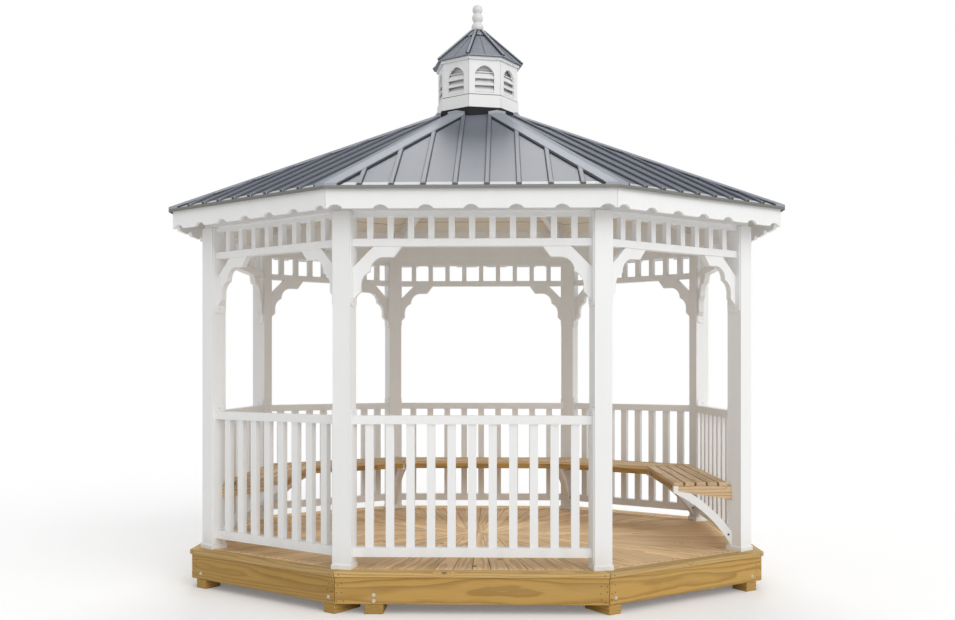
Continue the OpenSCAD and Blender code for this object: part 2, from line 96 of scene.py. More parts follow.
class Sock:
    """One output of a shader graph, whose operators add Math nodes."""

    def __init__(self, graph: "Graph", socket: bpy.types.NodeSocket) -> None:
        """Keeps the graph and the socket."""
        self.graph = graph
        self.socket = socket

    def math(self, operation: str, *others: "Sock | float", flip: bool = False) -> "Sock":
        """Adds one Math node.

        Args:
            operation: The Math node's operation.
            others: The further values of the operation.
            flip: Whether the first of the others comes before this value.

        Returns:
            The node's value.
        """
        values = [self, *others]
        if flip:
            values[0], values[1] = values[1], values[0]
        return self.graph.add("ShaderNodeMath", {"operation": operation}, dict(enumerate(values)))

    def __add__(self, other: "Sock | float") -> "Sock":
        """Sum."""
        return self.math("ADD", other)

    def __radd__(self, other: float) -> "Sock":
        """Sum with a number on the left."""
        return self.math("ADD", other, flip=True)

    def __sub__(self, other: "Sock | float") -> "Sock":
        """Difference."""
        return self.math("SUBTRACT", other)

    def __rsub__(self, other: float) -> "Sock":
        """Difference from a number on the left."""
        return self.math("SUBTRACT", other, flip=True)

    def __mul__(self, other: "Sock | float") -> "Sock":
        """Product."""
        return self.math("MULTIPLY", other)

    def __rmul__(self, other: float) -> "Sock":
        """Product with a number on the left."""
        return self.math("MULTIPLY", other, flip=True)

    def __truediv__(self, other: "Sock | float") -> "Sock":
        """Quotient."""
        return self.math("DIVIDE", other)

    def __abs__(self) -> "Sock":
        """Size without sign."""
        return self.math("ABSOLUTE")

    def fraction(self) -> "Sock":
        """Part after the decimal point."""
        return self.math("FRACT")

    def at_least(self, other: "Sock | float") -> "Sock":
        """Larger of two values."""
        return self.math("MAXIMUM", other)

    def ramp(self, low: float, high: float) -> "Sock":
        """Smooth step between two values.

        Args:
            low: Value where the step is 0.
            high: Value where the step is 1, below low for a step down.

        Returns:
            The step from 0 to 1.
        """
        down = low > high
        step = self.graph.add(
            "ShaderNodeMapRange", {"interpolation_type": "SMOOTHSTEP"},
            {"Value": self, "From Min": min(low, high), "From Max": max(low, high)})
        return 1.0 - step if down else step


class Graph:
    """The nodes of one material or world."""

    def __init__(self, tree: bpy.types.NodeTree) -> None:
        """Keeps the node tree."""
        self.tree = tree

    def add(self, kind: str, settings: dict | None = None, inputs: dict | None = None,
            out: int | str = 0) -> Sock:
        """Adds a node of any kind.

        Args:
            kind: The node's type.
            settings: Its properties, set first.
            inputs: Values or links of its sockets, by name or number.
            out: The output that is returned.

        Returns:
            The chosen output.
        """
        node = self.tree.nodes.new(kind)
        for key, value in (settings or {}).items():
            setattr(node, key, value)
        for key, value in (inputs or {}).items():
            if isinstance(value, Sock):
                self.tree.links.new(value.socket, node.inputs[key])
            else:
                node.inputs[key].default_value = value
        return Sock(self, node.outputs[out])

    def place(self) -> Sock:
        """Object coordinates."""
        return self.add("ShaderNodeTexCoord", out="Object")

    def attribute(self, name: str) -> Sock:
        """A vector kept on the mesh."""
        return self.add("ShaderNodeAttribute", {"attribute_name": name}, out="Vector")

    def split(self, vector: Sock) -> tuple[Sock, Sock, Sock]:
        """The three parts of a vector.

        Args:
            vector: The vector.

        Returns:
            Its x, y and z.
        """
        node = self.tree.nodes.new("ShaderNodeSeparateXYZ")
        self.tree.links.new(vector.socket, node.inputs[0])
        return tuple(Sock(self, output) for output in node.outputs)

    def stretch(self, vector: Sock, by: Colour) -> Sock:
        """A vector multiplied part by part."""
        return self.add("ShaderNodeVectorMath", {"operation": "MULTIPLY"}, {0: vector, 1: by})

    def noise(self, vector: Sock, scale: float, detail: float = 2.0, roughness: float = 0.5) -> Sock:
        """Soft noise from 0 to 1."""
        return self.add("ShaderNodeTexNoise", None, {
            "Vector": vector, "Scale": scale, "Detail": detail, "Roughness": roughness})

    def mix(self, factor: Sock, first: Sock | Colour, second: Sock | Colour, blend: str = "MIX") -> Sock:
        """Two colours mixed by a factor.

        Args:
            factor: Share of the second colour.
            first: Colour at 0.
            second: Colour at 1.
            blend: How the second colour is laid on the first.

        Returns:
            The mixed colour.
        """
        ends = [c if isinstance(c, Sock) else (*c, 1.0) for c in (first, second)]
        return self.add(
            "ShaderNodeMix", {"data_type": "RGBA", "blend_type": blend},
            {0: factor, 6: ends[0], 7: ends[1]}, out=2)

    def bump(self, height: Sock, strength: float, distance: float) -> Sock:
        """A normal tilted by a height."""
        return self.add("ShaderNodeBump", None, {
            "Height": height, "Strength": strength, "Distance": distance})


@dataclass(frozen=True)
class Finish(ABC):
    """A named surface finish."""

    name: str
    tone: Colour
    roughness: float

    def material(self) -> bpy.types.Material:
        """The finish as a Blender material, made once.

        Returns:
            The material.
        """
        found = bpy.data.materials.get(self.name)
        if found:
            return found
        made = bpy.data.materials.new(self.name)
        made.use_nodes = True
        self.shade(Graph(made.node_tree), made.node_tree.nodes["Principled BSDF"])
        return made

    @abstractmethod
    def shade(self, graph: Graph, shader: bpy.types.Node) -> None:
        """Wires the finish into a Principled shader."""

    def wire(self, graph: Graph, shader: bpy.types.Node, **sockets: Sock | float) -> None:
        """Links or sets sockets of a shader.

        Args:
            graph: The material's graph.
            shader: The shader to wire.
            sockets: Socket names with _ for spaces, and their values.
        """
        for key, value in sockets.items():
            socket = shader.inputs[key.replace("_", " ")]
            if isinstance(value, Sock):
                graph.tree.links.new(value.socket, socket)
            else:
                socket.default_value = value


@dataclass(frozen=True)
class WhiteTrim(Finish):
    """Satin white sleeves and trim, a little soiled low down."""

    name: str = "satin_white_trim"
    tone: Colour = (0.86, 0.86, 0.855)
    roughness: float = 0.42
    soil: Colour = (0.62, 0.60, 0.55)
    soil_low: float = 0.24
    soil_high: float = 0.42

    def shade(self, graph: Graph, shader: bpy.types.Node) -> None:
        """Clouded white with a faint soiled foot and a moulded skin.

        Args:
            graph: The material's graph.
            shader: Its Principled shader.
        """
        place = graph.place()
        _, _, height = graph.split(place)
        cloud = graph.noise(place, 2.3, 3.0)
        streak = graph.noise(graph.stretch(place, (9.0, 9.0, 0.7)), 1.0, 4.0)
        skin = graph.noise(place, 420.0, 2.0)
        foot = height.ramp(self.soil_high, self.soil_low)
        grime = (foot * 0.30 + 0.06) * streak.ramp(0.42, 0.72)
        pale = graph.mix(cloud, self.tone, tuple(c * 0.965 for c in self.tone))
        self.wire(
            graph, shader, Base_Color=graph.mix(grime, pale, self.soil),
            Roughness=cloud * 0.14 + self.roughness - 0.07,
            Normal=graph.bump(skin + cloud * 2.0, 0.12, 0.0012), Specular_IOR_Level=0.4)


@dataclass(frozen=True)
class CeilingPaint(Finish):
    """White planks under the roof, laid in rows along the eaves, tinted beige as painted warm shade."""

    name: str = "ceiling_planks"
    # Painted shade: the beige tone stands for the warm shade on the white planks under the roof.
    tone: Colour = (0.84, 0.78, 0.68)
    roughness: float = 0.6
    plank: float = 0.14

    def shade(self, graph: Graph, shader: bpy.types.Node) -> None:
        """Rows of planks whose joints follow the nearest eave.

        Args:
            graph: The material's graph.
            shader: Its Principled shader.
        """
        place = graph.place()
        row = (past_eave(graph, place) / self.plank).fraction()
        joint = abs(row - 0.5).ramp(0.455, 0.495)
        grain = graph.noise(graph.stretch(place, (6.0, 6.0, 6.0)), 1.0, 4.0)
        pale = graph.mix(grain, self.tone, tuple(c * 0.9 for c in self.tone))
        self.wire(
            graph, shader, Base_Color=graph.mix(joint * 0.7, pale, (0.30, 0.27, 0.23)),
            Roughness=grain * 0.1 + self.roughness,
            Normal=graph.bump(1.0 - joint + grain * 0.1, 0.5, 0.003))


@dataclass(frozen=True)
class Pine(Finish):
    """Treated pine whose grain follows each board."""

    name: str = "treated_pine"
    tone: Colour = (0.56, 0.36, 0.125)
    roughness: float = 0.62
    late: Colour = (0.33, 0.165, 0.045)
    knot: Colour = (0.14, 0.065, 0.025)
    worn: Colour = (0.50, 0.40, 0.25)
    wear: float = 0.15
    ring: float = 0.017

    def shade(self, graph: Graph, shader: bpy.types.Node) -> None:
        """Growth rings about a pith outside the board, with knots, fibres and weathered streaks.

        Args:
            graph: The material's graph.
            shader: Its Principled shader.
        """
        grain = graph.attribute("grain")
        _, across, depth = graph.split(grain)
        wander = graph.noise(graph.stretch(grain, (0.9, 5.0, 5.0)), 1.0, 2.0)
        ripple = graph.noise(graph.stretch(grain, (4.0, 24.0, 24.0)), 1.0, 2.0)
        seed = graph.add("ShaderNodeTexVoronoi", {"feature": "F1"}, {"Vector": grain, "Scale": 2.7})
        knot = seed.ramp(0.075, 0.04)
        halo = seed.ramp(0.20, 0.03)
        reach = (across * across + depth * depth).math("SQRT")
        swell = (wander - 0.5) * 0.085 + (ripple - 0.5) * 0.012 + halo * 0.03
        phase = ((reach + swell) / self.ring).fraction()
        late = phase.ramp(0.35, 0.92) * phase.ramp(1.0, 0.93)
        fibre = graph.noise(graph.stretch(grain, (7.0, 420.0, 420.0)), 1.0, 3.0)
        streak = graph.noise(graph.stretch(grain, (0.7, 16.0, 16.0)), 1.0, 3.0)
        lot = graph.noise(graph.stretch(grain, (0.05, 0.4, 0.4)), 1.0, 0.0)
        dark, light = (tuple(c * share for c in self.tone) for share in (0.84, 1.12))
        pale = graph.mix(lot.ramp(0.3, 0.7), dark, light)
        banded = graph.mix(late * (wander * 0.6 + 0.4), pale, self.late)
        worn = graph.mix(streak.ramp(0.45, 0.75) * self.wear * 3.0, banded, self.worn)
        fibred = graph.mix(fibre.ramp(0.48, 0.78) * 0.34, worn, self.late)
        knotted = graph.mix(knot * 0.85, fibred, self.knot)
        relief = fibre * 0.6 + late * 0.5 - knot * 0.6
        self.wire(
            graph, shader, Base_Color=knotted, Roughness=self.roughness + late * -0.10 + fibre * 0.12,
            Normal=graph.bump(relief, 0.3, 0.0015), Specular_IOR_Level=0.3)


@dataclass(frozen=True)
class RoofPaint(Finish):
    """Painted roof steel with faint waves and runs of dirt."""

    name: str = "painted_roof_steel"
    tone: Colour = (0.135, 0.148, 0.18)
    roughness: float = 0.30
    dusty: Colour = (0.19, 0.20, 0.23)
    film: float = 0.095

    def shade(self, graph: Graph, shader: bpy.types.Node) -> None:
        """Grey paint under a satin film, with clouding, runs and a slight buckle in the sheet.

        Args:
            graph: The material's graph.
            shader: Its Principled shader.
        """
        place = graph.place()
        cloud = graph.noise(place, 1.7, 3.0)
        speck = graph.noise(place, 160.0, 2.0)
        buckle = graph.noise(place, 4.5, 1.0)
        skin = graph.bump(buckle + speck * 0.02, 0.2, 0.006)
        rough = self.roughness + cloud * 0.06 + speck * 0.04
        self.wire(
            graph, shader, Base_Color=self.paint(graph, place, cloud), Roughness=0.9,
            Specular_IOR_Level=0.0, Normal=skin)
        film = graph.add("ShaderNodeBsdfGlossy", None, {"Roughness": rough, "Normal": skin})
        coated = graph.add(
            "ShaderNodeMixShader", None, {0: self.film, 1: Sock(graph, shader.outputs[0]), 2: film})
        output = graph.tree.nodes["Material Output"]
        graph.tree.links.new(coated.socket, output.inputs["Surface"])

    def paint(self, graph: Graph, place: Sock, cloud: Sock) -> Sock:
        """Colour of the paint, with dust in clouds and runs.

        Args:
            graph: The material's graph.
            place: Object coordinates.
            cloud: Soft clouding from 0 to 1.

        Returns:
            The colour.
        """
        runs = graph.noise(graph.stretch(place, (26.0, 26.0, 2.0)), 1.0, 3.0)
        dust = cloud.ramp(0.35, 0.75) * 0.35 + runs.ramp(0.55, 0.85) * 0.25
        return graph.mix(dust, self.tone, self.dusty)


@dataclass(frozen=True)
class SheetPaint(RoofPaint):
    """Paint of the main roof sheet, with a bright eave strip, its cut edge painted as shade and its rib ends
    painted as the shade inside them.
    """

    name: str = "painted_roof_sheet"
    strip: float = 0.045
    bright: Colour = (0.52, 0.53, 0.55)
    # Painted shade: the sheet's cut edge at the eave takes the same dark olive as the shadow over the fascia.
    edge_shade: Colour = (0.16, 0.155, 0.135)
    # Painted shade: near black for the open, shaded ends of the ribs at the eave.
    rib_end: Colour = (0.018, 0.018, 0.022)

    def paint(self, graph: Graph, place: Sock, cloud: Sock) -> Sock:
        """Colour of the paint, with the strip picked out and the cut edge and rib ends at the eave painted as
        shade.

        Args:
            graph: The material's graph.
            place: Object coordinates.
            cloud: Soft clouding from 0 to 1.

        Returns:
            The colour.
        """
        _, _, height = graph.split(place)
        past = past_eave(graph, place)
        strip = past.ramp(-self.strip - 0.003, -self.strip)
        # The cut edge and the rib ends on it are painted as shade.
        edge = past.ramp(-0.0014, -0.0007)
        end = height.ramp(PLAN.eave_z - 0.0004, PLAN.eave_z + 0.0004)
        top = graph.mix(strip, super().paint(graph, place, cloud), self.bright)
        return graph.mix(edge, top, graph.mix(end, self.edge_shade, self.rib_end))


@dataclass(frozen=True)
class Zinc(Finish):
    """Galvanised fixings, mottled and dull."""

    name: str = "galvanised_steel"
    tone: Colour = (0.72, 0.73, 0.70)
    roughness: float = 0.45

    def shade(self, graph: Graph, shader: bpy.types.Node) -> None:
        """Spangled grey with a little rust in the hollows.

        Args:
            graph: The material's graph.
            shader: Its Principled shader.
        """
        place = graph.place()
        spangle = graph.add("ShaderNodeTexVoronoi", {"feature": "F1"}, {"Vector": place, "Scale": 260.0})
        rust = graph.noise(place, 70.0, 4.0).ramp(0.60, 0.78)
        grey = graph.mix(spangle, self.tone, tuple(c * 0.72 for c in self.tone))
        self.wire(
            graph, shader, Base_Color=graph.mix(rust * 0.4, grey, (0.22, 0.10, 0.05)),
            Roughness=spangle * 0.2 + self.roughness, Metallic=0.35)


@dataclass(frozen=True)
class DarkSteel(Finish):
    """Nail heads, screw heads, joints, flashing, and small dark blocks of painted shade."""

    name: str = "dark_fixings"
    tone: Colour = (0.05, 0.05, 0.055)
    roughness: float = 0.55
    worn: Colour = (0.13, 0.125, 0.12)

    def shade(self, graph: Graph, shader: bpy.types.Node) -> None:
        """Nearly black with worn patches.

        Args:
            graph: The material's graph.
            shader: Its Principled shader.
        """
        worn = graph.noise(graph.place(), 90.0, 3.0)
        self.wire(
            graph, shader, Base_Color=graph.mix(worn * 0.5, self.tone, self.worn),
            Roughness=worn * 0.2 + self.roughness)


WHITE = WhiteTrim()
RIM_PINE = Pine(
    name="rim_pine", tone=(0.47, 0.285, 0.078), late=(0.30, 0.162, 0.036), worn=(0.44, 0.31, 0.13), wear=0.08)
NOSING_PINE = Pine(
    name="nosing_pine", tone=(0.57, 0.38, 0.14), late=(0.33, 0.185, 0.05), worn=(0.63, 0.48, 0.27), wear=0.12)
# Painted light: the deck pine's tone is raised well above the other pine to stand for the light on the deck.
LIT_DECK_PINE = Pine(
    name="deck_pine_lit", tone=(0.86, 0.605, 0.335), late=(0.49, 0.305, 0.14), worn=(0.86, 0.67, 0.46), wear=0.14)
SEAT_PINE = Pine(
    name="seat_pine", tone=(0.68, 0.49, 0.285), late=(0.40, 0.25, 0.12), worn=(0.70, 0.55, 0.38), wear=0.16)
APRON_PINE = Pine(name="apron_pine", tone=(0.50, 0.30, 0.085), late=(0.25, 0.12, 0.025), wear=0.06)
ROOF = RoofPaint()
SHEET = SheetPaint()
# Painted light: hip-cap steel is a lighter copy of the roof paint, standing for the light the caps catch.
LIT_CAP = RoofPaint(name="hip_cap_steel_lit", tone=(0.29, 0.311, 0.36), dusty=(0.36, 0.375, 0.41), film=0.07)
# Painted shade: the dark olive of the eave lips stands for the shadow between the eave and the fascia.
EAVE_SHADE = RoofPaint(name="eave_lip_painted_shade", tone=(0.16, 0.155, 0.135), dusty=(0.20, 0.195, 0.17), film=0.07)
# Painted shade: near-black strips at the feet of the ribs stand for the shade on the ribs' flanks.
RIB_FLANK_SHADE = RoofPaint(name="rib_flank_shade", tone=(0.055, 0.058, 0.07), dusty=(0.075, 0.078, 0.09), film=0.03)
# Painted shade: near-black strips along the hip caps and beside the cupola's raised seams stand for the shade
# those edges cast.
SEAM_SHADE = RoofPaint(name="painted_seam_shade", tone=(0.030, 0.032, 0.040), dusty=(0.05, 0.052, 0.06), film=0.03)
CUPOLA_ROOF = RoofPaint(
    name="painted_cupola_steel", tone=(0.21, 0.227, 0.27), dusty=(0.28, 0.293, 0.325), film=0.09)
# Painted light: the cupola's hip seams, slope seams and collar are a lighter copy of its roof paint, standing
# for the light they catch.
LIT_CUPOLA_HIP = RoofPaint(
    name="cupola_hip_steel_lit", tone=(0.29, 0.311, 0.36), dusty=(0.35, 0.367, 0.405), film=0.09)
FINIAL = WhiteTrim(name="finial_white", tone=(0.74, 0.74, 0.735))
PLANKS = CeilingPaint()
ZINC = Zinc()
DARK = DarkSteel()
# Partly painted shade: flashing made near black, darker than paint, so that it also stands for the shade
# under the cupola base.
FLASHING_SHADE = DarkSteel(name="flashing_painted_shade", tone=(0.006, 0.006, 0.008), roughness=0.8, worn=(0.02, 0.02, 0.022))


def lifted(point: Vector, height: float) -> Vector:
    """A plan point at a height."""
    return Vector((point.x, point.y, height))


def middle(node: str) -> Vector:
    """Plan centre of a CAD node's box."""
    low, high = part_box(node)
    return lifted((low + high) / 2.0, 0.0)


@dataclass
class Plan:
    """Corners, bays and levels of the gazebo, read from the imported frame."""

    sheet: float = 0.010
    corners: list[Vector] = field(init=False)
    deck_z: float = field(init=False)
    board_z: float = field(init=False)
    rim_z: float = field(init=False)
    rail_z: float = field(init=False)
    plate_z: float = field(init=False)
    head_z: float = field(init=False)
    eave_z: float = field(init=False)
    apex_z: float = field(init=False)
    deck_edge: float = field(init=False)
    floor_edge: float = field(init=False)
    rim_edge: float = field(init=False)
    eave_out: float = field(init=False)

    def __post_init__(self) -> None:
        """Reads the corners, the levels and the edges."""
        self.corners = [middle(post) for post in POSTS]
        self.board_z, self.deck_z = (corner.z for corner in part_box("deck_floor"))
        self.rim_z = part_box("rim_joists")[0].z
        self.rail_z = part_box("railing_front")[1].z
        self.plate_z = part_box("post_front_left")[1].z
        self.head_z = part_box("fret_front")[0].z
        self.eave_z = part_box("roof_sheet")[0].z + self.sheet
        self.apex_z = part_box("roof_sheet")[1].z
        self.deck_edge = self.reach("deck_border")
        self.floor_edge = self.reach("deck_floor")
        self.rim_edge = self.reach("rim_joists")
        self.eave_out = self.reach("roof_sheet")

    def reach(self, node: str) -> float:
        """How far a node stands outside the post centres."""
        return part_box(node)[1].x - self.corners[2].x

    def corner(self, number: int, out: float = 0.0) -> Vector:
        """A corner of the plan, moved out square to both of its bays.

        Args:
            number: The corner, counted round the plan.
            out: The distance moved outwards.

        Returns:
            The plan point.
        """
        first, second = self.outward(number - 1), self.outward(number)
        return self.corners[number % SIDES] + out * (first + second) / (1.0 + first.dot(second))

    def along(self, bay: int) -> Vector:
        """Direction of a bay from its first corner to its second."""
        return (self.corners[(bay + 1) % SIDES] - self.corners[bay % SIDES]).normalized()

    def outward(self, bay: int) -> Vector:
        """Outward direction of a bay."""
        run = self.along(bay)
        return Vector((run.y, -run.x, 0.0))

    def distance(self, bay: int) -> float:
        """Distance from the middle of the plan to a bay line."""
        return self.corners[bay % SIDES].dot(self.outward(bay))


PLAN = Plan()


def past_eave(graph: Graph, place: Sock) -> Sock:
    """How far a place lies outside the nearest eave, below 0 under the roof.

    Args:
        graph: The material's graph.
        place: Object coordinates.

    Returns:
        The distance in plan.
    """
    across, along, _ = graph.split(place)
    front, side, corner = (
        PLAN.distance(bay.value) + PLAN.eave_out for bay in (Bay.FRONT, Bay.RIGHT, Bay.ENTRANCE))
    slant = PLAN.outward(Bay.ENTRANCE.value)
    skew = abs(across) * abs(slant.x) + abs(along) * abs(slant.y)
    return (abs(along) - front).at_least(abs(across) - side).at_least(skew - corner)


@dataclass
class Slope:
    """One slope of the main roof."""

    plan: Plan
    bay: int
    run: Vector = field(init=False)
    out: Vector = field(init=False)
    depth: float = field(init=False)
    fall: float = field(init=False)
    normal: Vector = field(init=False)
    ends: list[float] = field(init=False)

    def __post_init__(self) -> None:
        """Works out the pitch and the two eave corners."""
        self.run = self.plan.along(self.bay)
        self.out = self.plan.outward(self.bay)
        self.depth = self.plan.distance(self.bay) + self.plan.eave_out
        self.fall = (self.plan.apex_z - self.plan.eave_z) / self.depth
        self.normal = (UP + self.out * self.fall).normalized()
        self.ends = [self.plan.corner(self.bay + i, self.plan.eave_out).dot(self.run) for i in (0, 1)]

    def point(self, across: float, radius: float) -> Vector:
        """A point on the slope.

        Args:
            across: Place along the eave, from under the apex.
            radius: Distance outwards from under the apex.

        Returns:
            The point on the top of the sheet.
        """
        plan = self.run * across + self.out * radius
        return lifted(plan, self.plan.apex_z - radius * self.fall)

    def drop(self, plan: Vector) -> Vector:
        """The point of the slope over or under a plan point."""
        return lifted(plan, self.plan.apex_z - self.out.dot(plan) * self.fall)

    def hip(self, across: float) -> float:
        """Radius at which a line straight up the slope meets the hip."""
        end = self.ends[1] if across > 0 else self.ends[0]
        return self.depth * across / end


class Workshop:
    """A mesh in which one piece of the gazebo is made."""

    GRAIN_START = (0.0, 60.0)
    PITH_SIDE = (-0.05, 0.05)
    PITH_DEPTH = (0.03, 0.11)

    def __init__(self, seed: int) -> None:
        """Starts an empty mesh with a grain vector on its vertices.

        Args:
            seed: Start of the draws that vary its boards.
        """
        self.mesh = bmesh.new()
        self.mesh.verts.layers.float_vector.new("grain")
        self.draw = random.Random(seed)

    def _merge(self, part: bmesh.types.BMesh) -> None:
        """Moves a finished part into the piece.

        Args:
            part: The part, which is freed.
        """
        carrier = bpy.data.meshes.new("part")
        part.to_mesh(carrier)
        part.free()
        self.mesh.from_mesh(carrier)
        bpy.data.meshes.remove(carrier)

    def _lay_grain(self, part: bmesh.types.BMesh, along: Vector, face: Vector) -> None:
        """Gives each vertex its place in the board, from a pith behind the wide face.

        Args:
            part: The board.
            along: Direction of the fibres.
            face: Outward direction of the wide face.
        """
        layer = part.verts.layers.float_vector.new("grain")
        centre = sum((v.co for v in part.verts), Vector()) / len(part.verts)
        across = face.cross(along)
        ranges = (self.GRAIN_START, self.PITH_SIDE, self.PITH_DEPTH)
        start = Vector([self.draw.uniform(*ends) for ends in ranges])
        for vert in part.verts:
            offset = vert.co - centre
            vert[layer] = start + Vector((offset.dot(along), offset.dot(across), offset.dot(face)))

    def slab(self, outline: Sequence[Vector], rise: Vector, ease: float = 0.0,
             along: Vector | None = None, face: Vector | None = None) -> None:
        """A flat outline pushed into a solid with eased edges.

        Args:
            outline: Corners of the first face, in order.
            rise: The push.
            ease: Width of the eased edges.
            along: Direction of the fibres, from the first edge if left out.
            face: Outward direction of the wide face, that of the push if left out.
        """
        part = bmesh.new()
        base = part.faces.new([part.verts.new(point) for point in outline])
        pushed = bmesh.ops.extrude_face_region(part, geom=[base])["geom"]
        bmesh.ops.translate(part, vec=rise, verts=[v for v in pushed if isinstance(v, bmesh.types.BMVert)])
        if ease:
            bmesh.ops.bevel(
                part, geom=part.edges[:], offset=ease, offset_type="OFFSET", affect="EDGES",
                segments=1, profile=0.5, material=-1)
        bmesh.ops.recalc_face_normals(part, faces=part.faces[:])
        fibres = along or (outline[1] - outline[0]).normalized()
        self._lay_grain(part, fibres, face or rise.normalized())
        self._merge(part)

    def stud(self, foot: Vector, axis: Vector, radius: float, height: float, sides: int,
             taper: float = 1.0, spin: float = 0.0) -> None:
        """A short round or many-sided head.

        Args:
            foot: Middle of its foot.
            axis: The way it stands.
            radius: Radius of its foot.
            height: Its height.
            sides: Number of sides.
            taper: Radius of its top as a share of the foot.
            spin: Turn about its own axis, in degrees.
        """
        part = bmesh.new()
        turn = UP.rotation_difference(axis).to_matrix().to_4x4()
        turn = turn @ Matrix.Rotation(math.radians(spin), 4, "Z")
        place = Matrix.Translation(foot + axis * height / 2.0) @ turn
        bmesh.ops.create_cone(
            part, cap_ends=True, segments=sides, radius1=radius, radius2=radius * taper,
            depth=height, matrix=place)
        self._lay_grain(part, axis.orthogonal().normalized(), axis)
        self._merge(part)

    def done(self, name: str, finish: Finish, slot: Slot, stands_for: Sequence[str] = ()) -> bpy.types.Object:
        """Turns the mesh into an object of the part.

        Args:
            name: The piece's name.
            finish: Its finish.
            slot: Not used.
            stands_for: CAD nodes that it replaces.

        Returns:
            The finished piece.
        """
        data = bpy.data.meshes.new(name)
        self.mesh.to_mesh(data)
        self.mesh.free()
        data.materials.append(finish.material())
        piece = bpy.data.objects.new(name, data)
        bpy.context.scene.collection.objects.link(piece)
        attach(piece, "root")
        if stands_for:
            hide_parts(*stands_for)
        LOG.info("%s: %d faces", name, len(data.polygons))
        return piece


@dataclass
class Base:
    """Skids, rim, deck and their fixings."""

    plan: Plan
    skid_width: float = 0.089
    skid_front: float = 0.108
    skid_long: float = 0.220
    skid_short: float = 0.120
    skid_back: float = 0.003
    skid_inset: float = 0.045
    skid_offset: float = 0.172
    rim_thick: float = 0.038
    border: float = 0.092
    joint: float = 0.0015
    ease: float = 0.003
    board_width: float = 0.108
    board_gap: float = 0.004
    fan_back: float = 0.65
    bolt_radius: float = 0.007
    bolt_heights: tuple[float, ...] = (0.037,)
    pair_heights: tuple[float, ...] = (0.020, 0.053)
    washer: float = 0.002
    bolt_head: float = 0.006
    nail_radius: float = 0.0036
    nail_head: float = 0.0012
    nail_sides: int = 8
    nail_insets: tuple[float, ...] = (0.018, 0.046)
    nail_heights: tuple[float, ...] = (0.025, 0.07, 0.115)
    nail_stray: tuple[float, float] = (0.006, 0.01)
    edge_nail: tuple[float, float] = (0.03, 0.015)
    floor_nail: tuple[float, float] = (0.0038, 0.0008)
    floor_nail_inset: float = 0.035

    def build(self) -> None:
        """Makes every piece of the base."""
        self.skids()
        self.rim()
        self.nosing()
        self.floor()
        self.bolts()
        self.nails()

    def blocks(self) -> list[tuple[int, float, float, float]]:
        """The skid blocks.

        Returns:
            The bay of each, its start along it from the first post, its width and its length.
        """
        wide, inset = self.skid_width, self.skid_inset
        front = Bay.FRONT.value
        blocks = [(front, self._rim_ends(front)[0] + self.skid_offset, self.skid_front, self.skid_long)]
        for bay in (Bay.ENTRANCE.value, Bay.BACK_LEFT.value):
            near, far = self._rim_ends(bay)
            blocks += [(bay, near, wide, self.skid_long), (bay, far - inset - wide, wide, self.skid_short)]
        for bay in (Bay.BACK_RIGHT.value, Bay.LEFT_FRONT.value):
            near, far = self._rim_ends(bay)
            blocks += [(bay, near + inset, wide, self.skid_short), (bay, far - wide, wide, self.skid_long)]
        return blocks

    def _rim_ends(self, bay: int) -> tuple[float, float]:
        """Places of the rim's two ends along a bay.

        Args:
            bay: The bay.

        Returns:
            The start and the end, from the bay's first post.
        """
        post, run = self.plan.corners[bay], self.plan.along(bay)
        first, last = ((self.plan.corner(bay + i, self.plan.rim_edge) - post).dot(run) for i in (0, 1))
        return first, last

    def skids(self) -> None:
        """Skid blocks at both ends of the slanted bays, and one under the front."""
        shop = Workshop(3)
        for bay, start, width, length in self.blocks():
            run, out = self.plan.along(bay), self.plan.outward(bay)
            first = self.plan.corners[bay] + run * start + out * (self.plan.rim_edge - self.skid_back)
            outline = [first, first + run * width, first + run * width - out * length, first - out * length]
            shop.slab(outline, UP * self.plan.rim_z, self.ease, -out)
        shop.done("skid_timbers", RIM_PINE, Slot.PINE, ["skids"])

    def _ring(self, shop: Workshop, out: float, width: float, low: float, high: float,
              face_out: bool) -> None:
        """Boards round the plan, mitred at the corners.

        Args:
            shop: Where the boards are made.
            out: Outer edge outside the post centres.
            width: Width of a board in plan.
            low: Underside.
            high: Top.
            face_out: Whether the wide face looks outwards, not up.
        """
        for bay in range(SIDES):
            run = self.plan.along(bay)
            first = [self.plan.corner(bay, edge) + run * self.joint for edge in (out, out - width)]
            last = [self.plan.corner(bay + 1, edge) - run * self.joint for edge in (out, out - width)]
            outline = [lifted(p, low) for p in (first[0], last[0], last[1], first[1])]
            face = self.plan.outward(bay) if face_out else UP
            shop.slab(outline, UP * (high - low), self.ease, run, face)

    def rim(self) -> None:
        """Rim joists on edge."""
        shop = Workshop(11)
        self._ring(shop, self.plan.rim_edge, self.rim_thick, self.plan.rim_z, self.plan.board_z, True)
        shop.done("rim_boards", RIM_PINE, Slot.PINE, ["rim_joists"])

    def nosing(self) -> None:
        """Border boards round the deck."""
        shop = Workshop(17)
        self._ring(shop, self.plan.deck_edge, self.border, self.plan.board_z, self.plan.deck_z, False)
        shop.done("nosing_boards", NOSING_PINE, Slot.PINE, ["deck_border"])

    def floor(self) -> None:
        """Boards that fan out in each sector, cut along the seams from the middle to the posts."""
        shop = Workshop(23)
        for bay in range(SIDES):
            ends = [self.plan.corner(bay + i, self.plan.floor_edge) for i in (0, 1)]
            count = round((ends[1] - ends[0]).length / self.board_width)
            pivot = -self.plan.outward(bay) * self.fan_back
            for number in range(count):
                marks = [ends[0].lerp(ends[1], (number + i) / count) for i in (0, 1)]
                self._fan_board(shop, pivot, marks, ends, bay)
        shop.done("floor_boards", LIT_DECK_PINE, Slot.PINE, ["deck_floor"])

